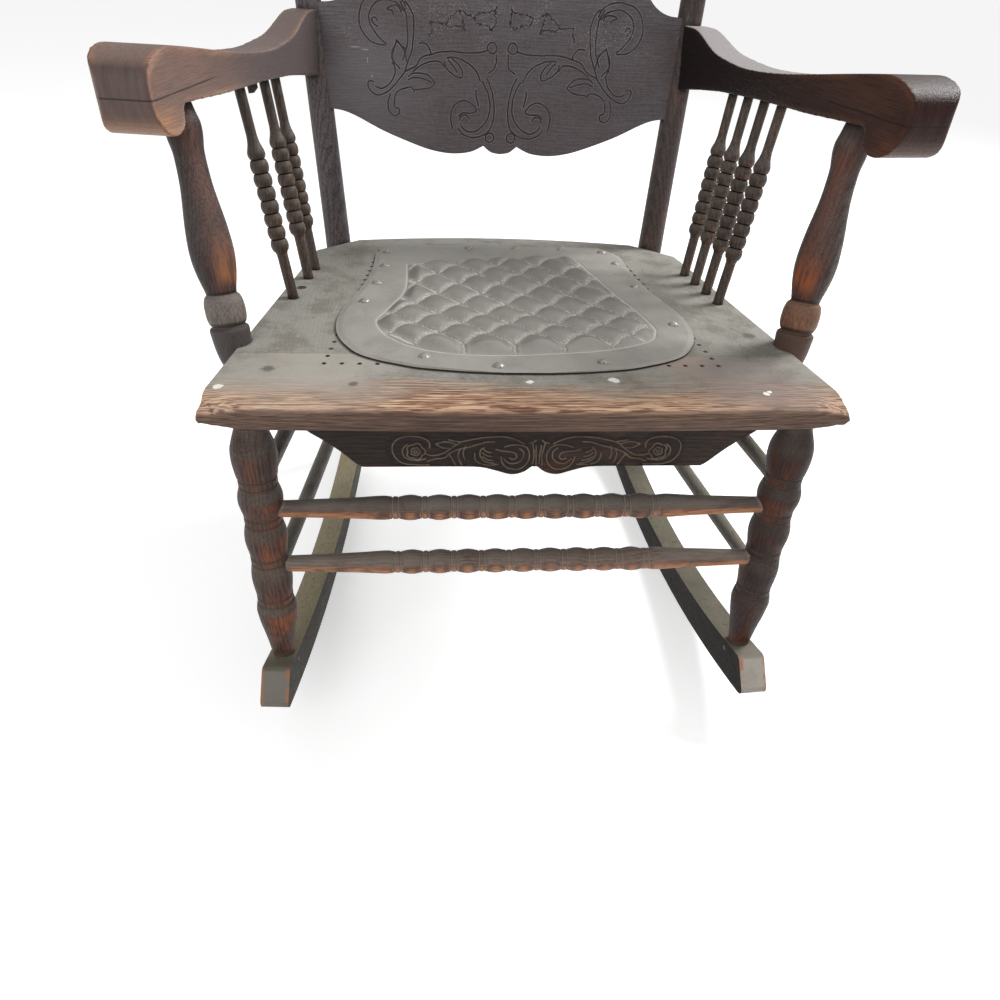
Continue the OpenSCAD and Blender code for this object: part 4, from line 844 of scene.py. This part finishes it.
# ---- pressed ornament: half of each pattern, mirrored across the middle, in millimetres
panelLines = {
    "stemOuter": [(-112.4, 273.5), (-106.1, 265.2), (-103, 254.2), (-104.1, 239.1), (-106.3, 225.1), (-111.9, 212),
        (-115.8, 202.7), (-122.8, 194.6), (-130.6, 186.4), (-139.1, 180.8), (-148.3, 178.5), (-155.6, 182.3),
        (-159, 188.8), (-156.9, 193.2), (-151.8, 192.4)],
    "stemInner": [(-118.2, 273.3), (-112.7, 263.7), (-110.8, 252.7), (-110.4, 240.2), (-112.2, 227.4), (-117, 215.7)],
    "stemCurl": [(-150.1, 187.4), (-143.4, 185.7), (-135.8, 188.6), (-129.2, 195.7), (-126, 203.7), (-126.7, 208.9),
        (-129.3, 212.4)],
    "branchOuter": [(-132.8, 180.4), (-135.7, 171.5), (-135.2, 163.4), (-130.1, 157.4), (-123.5, 159), (-122.7, 164.5),
        (-127.2, 166.1)],
    "branchInner": [(-128.3, 167), (-127.9, 174.5), (-124, 182.4), (-114.8, 186.9), (-107.2, 187.2), (-104, 183)],
    "leafEdge": [(-110.7, 199), (-106.9, 201.7), (-97.8, 203.1), (-87.4, 200.8), (-81.4, 195.7), (-79.6, 192.7),
        (-85.2, 188.2), (-95.1, 186), (-103.5, 185.3)],
    "leafRib": [(-110.8, 195.7), (-102.4, 198.2), (-91.9, 196.7), (-82.9, 193.6)],
    "archTop": [(-114.3, 204.1), (-102.2, 209.7), (-94.6, 219.1), (-85.6, 221.7), (-75.1, 224.6), (-60.2, 226.1),
        (-45.2, 225.3), (-30.2, 225.8), (-17.5, 227.9)],
    "archUnder": [(-105.3, 204.4), (-96.2, 210.6), (-87.2, 214.4), (-78.2, 216), (-71.5, 214.4), (-68.5, 210.2)],
    "archEnd": [(-65.4, 219.8), (-54.2, 219.8), (-43.7, 216.3), (-34.5, 210.7), (-28.3, 203), (-25.2, 196.5)],
    "dropEdge": [(-68.4, 216.1), (-66.2, 209), (-58.7, 203.1), (-48.8, 199.4), (-46.9, 205), (-51.2, 212.8),
        (-58.7, 218.4)],
    "dropRib": [(-63.9, 217.5), (-58.7, 212.5), (-53.4, 205.5)],
    "scrollOuter": [(-18.4, 200.7), (-13.6, 191.5), (-10.2, 180.9), (-8.3, 167.3), (-9.1, 154.8), (-13.2, 144.9),
        (-21.7, 138.7), (-34.2, 135.8), (-45.3, 139.1), (-52.3, 145.2)],
    "scrollInner": [(-22.9, 196.6), (-15.7, 183.4), (-13.5, 171.2), (-14.4, 161.6), (-18.9, 152.4), (-26.5, 145.2),
        (-36.7, 141.7), (-44.5, 144.7), (-48.9, 150.2)],
    "scrollBack": [(-58.2, 144.7), (-60.7, 155.4), (-59.5, 165.4), (-54, 172.4), (-46, 175.7), (-37.9, 173.9),
        (-31.6, 168.6), (-30, 165), (-36.9, 162.3), (-45.9, 162.8), (-51.2, 158.4)],
    "scrollLeaf": [(-30.4, 187.6), (-29.8, 178.9), (-27, 170.5)],
    "scrollCurl": [(-50.5, 154.3), (-47, 159.5), (-41.6, 160.1), (-38.1, 156)],
    "tongue": [(-7.3, 224.7), (-6.8, 216.9), (-9.5, 209.6), (-15.9, 205.4)],
    "sprig": [(-123.8, 234.6), (-127.4, 224.3), (-128.1, 215.3), (-120.2, 206.5)],
    "sprigRight": [(-123.8, 234.6), (-117.3, 228.5), (-113.8, 222.9), (-112.5, 214.6)],
    "bellTop": [(-66.1, 253.1), (-62.4, 258.2), (-55.9, 263.4), (-51.5, 267.9), (-46.3, 265.6), (-41.2, 262.1),
        (-35.3, 261.7)],
    "bellUnder": [(-66.1, 253.1), (-60.2, 250.2), (-51.4, 251.8), (-46.2, 249.4), (-43.7, 246.1)],
    "bellCurl": [(-83, 254.9), (-74.9, 254), (-66.1, 253.1)],
    "secondTop": [(-33.8, 262), (-26.5, 265.4), (-17.7, 266.1), (-11.8, 267.8), (-9, 271.4)],
    "secondUnder": [(-33.8, 260.8), (-31.5, 255.6), (-23.3, 254), (-17.4, 252.4), (-13.1, 248.8)],
    "secondLip": [(-9, 271.4), (-9.5, 263.9), (-8.6, 256.5), (-13.1, 248.8)],
    "bellLip": [(-51.5, 267.9), (-47.8, 260), (-43.7, 246.1)],
    "lip": [(-85.4, 239.8), (-82.3, 247.5), (-83.7, 254.9)],
    "frill": [(-98, 233), (-89.9, 232.7), (-84.1, 225.9), (-84.8, 222)],
    "loopOuter": [(-111.5, 266.6), (-114, 272.3), (-120.2, 277.8), (-129.7, 281.1), (-140.9, 281.1), (-153.5, 277.3),
        (-161.2, 269.7), (-165, 259.7), (-165.1, 250.2), (-161.9, 241.6), (-155.3, 234.9), (-147.3, 230.7),
        (-136.5, 229.9)],
    "loopInner": [(-114.8, 264.2), (-119.5, 269.8), (-128.2, 273.4), (-137.2, 274.2), (-145, 271.6), (-151.5, 265.6),
        (-154.3, 256.8), (-152.2, 248.4), (-146.9, 241.1), (-140.6, 235), (-135.6, 231.6)],
    "loopLeaf": [(-117.2, 262.4), (-119.7, 267.5), (-125.6, 268.8), (-133.9, 265.5), (-127.7, 263.4), (-126.3, 259.6)],
    "loopBud": [(-144.8, 253.3), (-147.4, 256.9), (-151.2, 254.8), (-148.6, 250.2), (-144.6, 248.1)],
    "loopTail": [(-113.6, 227.6), (-118.8, 230.4), (-123.6, 235.7)],
    "loopStem": [(-125.7, 230), (-128.9, 224.2), (-129.3, 217.6), (-127.1, 211.5)],
}
panelRings = [(-13, 136.4, 5.2), (-12.3, 231.2, 5.4)]
apronLines = {
    "loopOuter": [(-94.4, -63.9), (-104.3, -63.8), (-113.2, -63.2), (-119.9, -60.2), (-124.1, -55), (-125.8, -48.7),
        (-124.9, -43.1), (-121.1, -38.6), (-115.2, -36.2), (-107.5, -35.5), (-98.9, -37.3), (-94.6, -40.9),
        (-94, -46.6)],
    "loopInner": [(-97.3, -58), (-104.2, -59.4), (-110.9, -58.5), (-115.4, -55.6), (-117.1, -51), (-116.1, -46.5),
        (-112.6, -43.3)],
    "stemTop": [(-97.7, -52.8), (-92.3, -54.3), (-85.4, -53.7), (-78.5, -50), (-72.6, -44.9), (-67.3, -41.2),
        (-60.9, -39.6), (-52.2, -37.4), (-43.4, -36.3), (-33.6, -35.9), (-25.7, -37.1), (-18.7, -39.4),
        (-12.5, -43.1)],
    "stemUnder": [(-96.3, -60.4), (-89.4, -58.1), (-81.5, -56.9), (-76.5, -52.3), (-68.7, -48.3), (-61.8, -46.6),
        (-54, -44.2), (-46.2, -41.6), (-38.3, -41)],
    "topLeaf": [(-88.8, -42.6), (-85.4, -45.4), (-81.5, -47.2), (-76.6, -47.2)],
    "topLeafEdge": [(-88.8, -42.6), (-83.4, -41.1), (-77.5, -41.2), (-71.7, -43)],
    "spur": [(-77.5, -38.9), (-72.7, -40), (-67.8, -40.7)],
    "dropLong": [(-77.5, -52.9), (-75.1, -57), (-73.1, -61.6), (-71.3, -64.2)],
    "dropMid": [(-63.3, -45.5), (-64.9, -50.6), (-64.7, -55.3), (-63.4, -58.2)],
    "dropShort": [(-67.7, -48.3), (-69.6, -53.5), (-68.6, -59.3), (-66.1, -64)],
    "budBack": [(-55.3, -52.4), (-54.7, -58.2), (-52.1, -61.7), (-46.6, -63.9), (-40.5, -64.4), (-34.5, -63.6)],
    "bud": [(-47.5, -46.7), (-50.1, -49.5), (-50.6, -54.7), (-47.7, -59.4), (-42.6, -61.8), (-37.6, -62.4)],
    "budRibHigh": [(-47.5, -48.4), (-44.9, -50.7), (-41.4, -51.5)],
    "budRibMid": [(-48.6, -51.9), (-44.8, -54.8), (-40.3, -55.7)],
    "budRibLow": [(-48.3, -55.9), (-44.2, -58.8), (-39.2, -59.7)],
    "spiralOuter": [(-32.3, -56), (-31.1, -61.8), (-27.3, -66.8), (-21.2, -68.8), (-15.1, -68.2), (-10.3, -64.3),
        (-7.6, -58.4), (-8, -51.4), (-11.3, -46.2), (-17.4, -43.9), (-24.4, -44.5), (-29.7, -46.2)],
    "spiralInner": [(-37.1, -48.4), (-32.1, -49.9), (-25.1, -50.8), (-20.2, -52.5), (-18.8, -56.3), (-21.2, -58.6),
        (-24.7, -57.4)],
    "spiralMid": [(-29.7, -58.3), (-24.5, -62.5), (-17.5, -61.9), (-13.2, -57.2), (-12.8, -51.4), (-16.8, -47.3)],
    "columnOuter": [(-5.6, -42.2), (-3.9, -50.3), (-3.6, -58.4), (-4.2, -64.3)],
    "columnInner": [(-2.3, -44.5), (-1.7, -52.6), (-1.1, -64.4)],
    "fan": [(-8.6, -42.4), (-5.2, -41.7), (-2.6, -39.4)],
}
apronRings = [(-105.9, -50.5, 1.4)]
apronRoses = [(-105.9, -50.5, 9.2, 5)]
# a flower's two rows of petals: reach and depth as shares of its radius
roseSet = {"points": 260, "rows": ((0.72, 0.17), (0.36, 0.08))}


# A smooth line of close points through the given ones
def smoothLine(points, step):
    made = []
    for i in range(len(points) - 1):
        a, b, c, d = (Vector(points[min(max(k, 0), len(points) - 1)]) for k in (i - 1, i, i + 1, i + 2))
        count = max(2, int((c - b).length / step))
        for j in range(count):
            t = j / count
            made.append(0.5 * (2 * b + (c - a) * t + (2 * a - 5 * b + 4 * c - d) * t * t
                               + (3 * b - a - 3 * c + d) * t * t * t))
    made.append(Vector(points[-1]))
    return made


def ornamentTree(lines, rings, middle=0.0, step=0.35, roses=()):
    points = []
    for line in lines.values():
        points += smoothLine(line, step)
    for x, y, radius, petals in roses:
        for k in range(roseSet["points"]):
            angle = 2 * math.pi * k / roseSet["points"]
            for reach, depth in roseSet["rows"]:
                r = radius * (reach + depth * abs(math.cos(petals * angle / 2)))
                points.append(Vector((x + r * math.cos(angle), y + r * math.sin(angle))))
    for x, y, radius in rings:
        turns = max(8, int(2 * math.pi * radius / step))
        points += [Vector((x + radius * math.cos(2 * math.pi * k / turns),
                           y + radius * math.sin(2 * math.pi * k / turns))) for k in range(turns)]
    tree = kdtree.KDTree(2 * len(points))
    for i, point in enumerate(points):
        tree.insert((middle + point.x, point.y, 0), 2 * i)
        tree.insert((middle - point.x, point.y, 0), 2 * i + 1)
    tree.balance()
    return tree


# Cuts the flat front of a board into small faces where its ornament runs, and presses the ornament in.
# The plane matrix turns the board's own plane, x across and z up in millimetres, into the chair's place.
def pressOrnament(piece, plane, ornament, setting):
    # The lines wander a little, and the flowers have frilled edges
    def nearest(place):
        at = Vector((place.x * 1000, place.z * 1000, 0))
        wander = noise.noise_vector(at / 7) * setting["wander"]
        if at.z == 0 and at.y > setting["frillFrom"] and abs(at.x) < 100:
            wander += noise.noise_vector(at / 2.2) * setting["frill"]
        return ornament.find((at.x + wander.x, at.y + wander.y, 0))[2]

    def frontFaces():
        return [f for f in work.faces
                if f.normal.y < -0.999 and abs(f.calc_center_median().y - setting["front"]) < 1e-4]

    mesh = piece.data
    mesh.transform(plane.inverted())
    setMode("EDIT")
    work = bmesh.from_edit_mesh(mesh)
    cell = setting["cell"] / 1000
    for axis in (0, 2):
        low, high = (setting[side][axis // 2] / 1000 for side in ("low", "high"))
        for k in range(int((high - low) / cell) + 1):
            point, normal = [0, setting["front"], 0], [0, 0, 0]
            point[axis] = low + k * cell
            normal[axis] = 1
            cutFaces(work, frontFaces(), point, normal)
    bmesh.update_edit_mesh(mesh)
    for reach in setting["reach"]:
        selectNone("FACE")
        work = bmesh.from_edit_mesh(mesh)
        for face in frontFaces():
            near = nearest(face.calc_center_median())
            size = math.sqrt(face.calc_area()) * 1000
            face.select = len(face.verts) == 4 and near < reach + size * 0.6
        bmesh.update_edit_mesh(mesh)
        bpy.ops.mesh.subdivide(number_cuts=1)
    work = bmesh.from_edit_mesh(mesh)
    layer = work.verts.layers.float.new("near")
    for vertex in work.verts:
        vertex[layer] = 99
    pressed = [v for v in {v for f in frontFaces() for v in f.verts}
               if all(f.normal.y < -0.999 for f in v.link_faces)]
    for vertex in pressed:
        near = nearest(vertex.co)
        vertex[layer] = near
        vertex.co.y += setting["press"](near) / 1000
    bmesh.update_edit_mesh(mesh)
    setMode("OBJECT")
    mesh.transform(plane)


# ---- back panel
def panelPress(near):
    return 0.8 * math.exp(-(near / 0.55) ** 2) - 0.5 * math.exp(-((near - 1.6) / 0.8) ** 2)


panelSet = {
    "low": (-172, 128), "high": (172, 288), "cell": 5.0, "reach": (7, 4, 2), "press": panelPress,
    "front": -0.017 / 2, "wander": 0.6, "frill": 2.2, "frillFrom": 241,
}
# place, shape and radius of each scratch
panelScratches = [((-0.172, 0.548), (0.12, 1.0), 0.0007), ((-0.160, 0.5455), (0.2, 1.0), 0.0008),
                  ((-0.158, 0.535), (1.0, 0.2), 0.0006), ((-0.1536, 0.5195), (1.0, 1.0), 0.0012)]


# Dark lines, pale lips beside them, punched dots round the upper flowers and pale scratches
def markPanel(tree, place, along, wood, colour):
    front = facing(tree, (0, -1, 0), 0.3, 0.8)
    near = stored(tree, "near")
    patchy = place.noise(45, 3, 0.6).spread(0.3, 0.65, 0.35, 1)
    colour = colour.coat("#5c4a46", place.noise(9, 2, 0.5).spread(0.4, 0.62) * 0.35)
    colour = colour.coat("#848185", place.spot((-0.165, 0.22, 0.51), 0.06, 0.6, 0.7) * 0.35)
    colour = colour.coat("#7c7678", place.noise(330, 4, 0.7).spread(0.35, 0.65) * 0.22)
    colour = colour.coat("#969090", abs(near - 1.35).spread(0.6, 0) * patchy * 0.5)
    colour = colour.coat("#1a1618", near.spread(0.85, 0.25) * patchy * 0.95)
    for (x, z), (wide, high), radius in panelScratches:
        scratch = place.stretched((wide, 0, high)).spot((x * wide, 0, z * high), radius, 0.5, 0.4)
        colour = colour.coat("#ceccca", scratch * front * 0.32)
    dots = shade(tree, "ShaderNodeTexVoronoi", {"Vector": place, "Scale": 420.0}, "Distance").spread(0.42, 0.2)
    where = place.split()["Z"].spread(0.535, 0.56) * place.noise(30, 3, 0.6).spread(0.45, 0.6)
    return colour.coat("#96918f", dots * where * front * 0.5)


panel = easedPiece("back_panel", "back_panel_pressed", 0.2, 0.0012, 0.002)
pressOrnament(panel, backMatrix, ornamentTree(panelLines, panelRings), panelSet)
finishPiece(panel, "back_panel", oakMaterial("oak_panel", "x", look(
    dark="#3a3538", mid="#595357", light="#716b6e", rubbed=(0.6, 0.78), rubbedAmount=0.25,
    dustAmount=0.45, dust="#747072", edge=0.0012, grime=0.3, rings=0.15, pores=0.5, contrast=0.55,
    bareDark="#583e3a", bareLight="#826a62", shift=(0, -0.2, -0.4)), markPanel))
print("back panel pressed:", len(panel.data.polygons), "faces")


# ---- apron: the ground is pressed back and the ornament stands at the old face
def apronPress(near):
    ground = min(1, max(0, (6.5 - near) / 2.0))
    return 1.1 * ground * (1 - math.exp(-(near / 0.75) ** 2))


apronSet = {
    "low": (-128, -72), "high": (138, -32), "cell": 3.0, "reach": (4, 2), "press": apronPress,
    "front": 0.014, "middle": 7.5, "wander": 0.4, "frill": 0, "frillFrom": 0,
}


def markApron(tree, place, along, wood, colour):
    near = stored(tree, "near")
    ground = near.spread(7, 4) * near.spread(0.4, 1.1)
    line = near.spread(0.9, 0.25) * place.noise(70, 3, 0.6).spread(0.3, 0.6, 0.4, 1)
    return colour.coat("#201816", ground * 0.55).coat("#847466", line * 0.65)


apron = easedPiece("front_apron", "front_apron_pressed", 0.2, 0.0012, 0.002)
apronTree = ornamentTree(apronLines, apronRings, apronSet["middle"], 0.25, apronRoses)
pressOrnament(apron, seatMatrix, apronTree, apronSet)
finishPiece(apron, "front_apron", oakMaterial("oak_apron", "x", look(
    dark="#18110f", mid="#2c231f", light="#3e332d", edge=0.0012, rubbedAmount=0.2,
    dustAmount=0.1, specular=0.15, grime=0.3, edgeWear=0.2, shift=(0, 0.2, -0.25)), markApron))
print("apron pressed:", len(apron.data.polygons), "faces")

# ---- leather
leatherSet = {
    "width": 356, "depth": 383, "front": 59, "margin": 3.0, "tuft": 8.0, "gap": 0.2,
    "across": 250, "along": 270, "crowding": 67.5,
    # half widths from front to back, as shares of half the width and of the depth
    "outline": [(0, 0), (0.25, 0.009), (0.39, 0.018), (0.535, 0.031), (0.645, 0.051), (0.755, 0.075),
                (0.85, 0.108), (0.915, 0.153), (0.965, 0.205), (0.993, 0.262), (1, 0.335), (0.98, 0.415),
                (0.935, 0.51), (0.89, 0.63), (0.865, 0.76), (0.86, 0.9), (0.8, 0.96), (0.74, 1)],
    # the rows of sewn knots, from the front of the seat, and the knots across
    "rows": (118, 143, 167.5, 191, 220.5, 252, 286.5, 319, 352, 385),
    "knotStep": 23.6, "knotX": -7.3,
    # border of the quilting, from the front of the seat
    "border": [(-114.5, 357.5), (-63, 370), (-1.4, 386), (49, 391), (86, 393), (100.6, 346), (115, 276),
               (127, 226), (138, 172), (136, 151), (124, 131), (72.5, 108), (-22, 95), (-86, 105), (-122, 132),
               (-139, 172), (-131, 205), (-114, 266)],
}
outlineCurve = smoothLine(leatherSet["outline"], 0.012)


def halfWidth(share):
    for i in range(len(outlineCurve) - 1):
        if outlineCurve[i + 1].y >= share:
            a, b = outlineCurve[i], outlineCurve[i + 1]
            t = 0 if b.y == a.y else (share - a.y) / (b.y - a.y)
            return leatherSet["width"] / 2 * (a.x + (b.x - a.x) * t)
    return leatherSet["width"] / 2 * outlineCurve[-1].x


borderLine = numpy.array(smoothLine(leatherSet["border"] + leatherSet["border"][:1], 5.0))


# Distance in from the quilting's border, negative outside it
def insideBorder(x, y):
    nearest = numpy.full(len(x), 1e9)
    crossings = numpy.zeros(len(x), int)
    for a, b in zip(borderLine[:-1], borderLine[1:]):
        run = b - a
        length = (run ** 2).sum()
        if length < 1e-9:
            continue
        t = numpy.clip(((x - a[0]) * run[0] + (y - a[1]) * run[1]) / length, 0, 1)
        nearest = numpy.minimum(nearest, numpy.hypot(x - a[0] - run[0] * t, y - a[1] - run[1] * t))
        if run[1] != 0:
            crossings += ((a[1] > y) != (b[1] > y)) & (x < a[0] + (y - a[1]) / run[1] * run[0])
    return numpy.where(crossings % 2 == 1, nearest, -nearest)


def easedAll(t):
    t = numpy.clip(t, 0, 1)
    return t * t * (3 - 2 * t)


def makeLeather():
    bpy.ops.object.select_all(action="DESELECT")
    bpy.ops.mesh.primitive_grid_add(x_subdivisions=leatherSet["across"], y_subdivisions=leatherSet["along"], size=2)
    piece = bpy.context.object
    piece.name = "seat_leather_quilted"
    mesh = piece.data
    count = len(mesh.vertices)
    places = numpy.empty(count * 3)
    mesh.vertices.foreach_get("co", places)
    u, v = places.reshape(-1, 3).T[:2]
    share = 0.5 + 0.5 * v
    share = 0.004 + 0.996 * (0.35 * (1 - numpy.cos(math.pi / 2 * share)) + 0.65 * share)
    half = numpy.array([halfWidth(t) for t in share.round(6)])
    crowding = math.radians(leatherSet["crowding"])
    x = half * numpy.sin(crowding * u) / math.sin(crowding)
    y = share * leatherSet["depth"]
    edge = numpy.minimum(half - abs(x), numpy.minimum(y, leatherSet["depth"] - y))
    y = y + leatherSet["front"]
    inside = insideBorder(x, y)
    # across the diamonds and along them: a seam runs wherever the sum or the difference is even
    a = (x - leatherSet["knotX"]) / leatherSet["knotStep"]
    b = numpy.interp(y, leatherSet["rows"], range(len(leatherSet["rows"])))
    s, t = abs(numpy.sin(math.pi * (a + b) / 2)), abs(numpy.sin(math.pi * (a - b) / 2))
    flat = leatherSet["margin"] * (0.55 + 0.45 * easedAll(edge / 7))
    rise = leatherSet["tuft"] * easedAll(inside / 16) * (0.12 + 0.88 * s ** 0.9 * t ** 0.36)
    stitch = 0.7 * numpy.exp(-(numpy.minimum(s, t) / 0.09) ** 2) * easedAll(inside / 8)
    line = 0.9 * numpy.exp(-(inside / 1.3) ** 2)
    lump = numpy.array([0.6 * noise.noise(Vector((i / 30, j / 30, 3.7)))
                        + 0.3 * noise.noise(Vector((i / 9, j / 9, 1.3))) for i, j in zip(x, y)])
    height = numpy.maximum(1.2, flat + rise - stitch - line + lump * easedAll(edge / 10)) + leatherSet["gap"]
    mesh.vertices.foreach_set("co", (numpy.stack([x, y, height], 1) / 1000).ravel())
    mesh.attributes.new("quilt", "FLOAT_VECTOR", "POINT").data.foreach_set(
        "vector", numpy.stack([a, b, inside], 1).ravel().astype(numpy.float32))
    setMode("EDIT")
    selectNone("EDGE")
    work = bmesh.from_edit_mesh(mesh)
    for rim in work.edges:
        rim.select = rim.is_boundary
    bmesh.update_edit_mesh(mesh)
    bpy.ops.mesh.extrude_edges_move()
    work = bmesh.from_edit_mesh(mesh)
    for vertex in work.verts:
        if vertex.select:
            vertex.co.z = leatherSet["gap"] / 1000
    bmesh.update_edit_mesh(mesh)
    bpy.ops.mesh.edge_face_add()
    bpy.ops.mesh.select_all(action="SELECT")
    bpy.ops.mesh.normals_make_consistent(inside=False)
    setMode("OBJECT")
    mesh.transform(seatMatrix)
    return piece


def leatherMaterial():
    material, tree, place = startMaterial("dustyLeather")
    wear = useGroup(tree, wornEdges, {"Vector": place, "Radius": 0.0025, "Patches": 40.0})
    dust = useGroup(tree, settledDust, {"Vector": place, "Amount": 0.7, "Patches": 22.0})
    lattice = stored(tree, "quilt", "Vector").split()
    waver = (place.noise(90, 3) - 0.5) * 0.2
    down = lattice["X"] + lattice["Y"] + waver
    rise = lattice["X"] - lattice["Y"] + waver
    first, second = (abs((way * (math.pi / 2)).maths("SINE")) for way in (down, rise))
    seam = first.maths("MINIMUM", second)
    knot = first.maths("MAXIMUM", second).spread(0.3, 0.12)
    inside = lattice["Z"].spread(0.5, 4)
    border = abs(lattice["Z"]).spread(1.2, 0.3)
    polished = seam.spread(0.12, 0.6) * inside
    crown = facing(tree, (0, 1, 0), -0.3, 0.12) * polished
    darker = place.spot((0.03, 0.06, 0.347), 0.075, 0.4, 0.7) * inside
    line = first.spread(0.095, 0.03).maths("MAXIMUM", second.spread(0.07, 0.02) * 0.6) * inside
    line = line * place.noise(160, 3, 0.6).spread(0.3, 0.6, 0.35, 1)
    crackle = seam.spread(0.45, 0.05) * inside * place.noise(650, 2, 0.6).spread(0.5, 0.62)
    pale = (line * 0.85).maths("MAXIMUM", crackle * 0.65).maths("MAXIMUM", border * 0.5).clamped()
    cloud = place.noise(26, 5, 0.6).spread(0.3, 0.7)
    colour = mixColour(tree, cloud, "#7e7b74", "#98958e")
    for share, tint in (
            (place.noise(380, 4, 0.75).spread(0.3, 0.7) * 0.3, "#a8a69f"),
            (dust["Dust"], "#9c9992"),
            # painted shade in the hollows between the tufts
            (wear["Hollow"] * 0.3, "#5c564e"),
            (polished * 0.25, "#76726f"),
            (crown * 0.4, "#5c5857"),
            (darker * 0.28, "#625d5b"),
            (pale, "#d6d4cd"),
            (knot * inside * 0.45, "#605b56"),
            # the leather's sides are dark brown: its cut edge, with painted shade of the gap under it
            (facing(tree, (0, 0, 1), 0.6, 0.2), "#2e2621")):
        colour = colour.coat(tint, share)
    pebble = shade(tree, "ShaderNodeTexVoronoi", {"Vector": place, "Scale": 520.0}, "Distance",
                   feature="DISTANCE_TO_EDGE")
    finishMaterial(tree, pebble.spread(0.0, 0.25), 0.4, 0.0004, {
        "Base Color": colour, "Roughness": cloud.spread(0, 1, 0.55, 0.75), "Specular IOR Level": 0.35})
    return material


leather = makeLeather()
finishPiece(leather, "seat_leather", leatherMaterial(), smooth=60)
print("leather quilted:", len(leather.data.polygons), "faces")
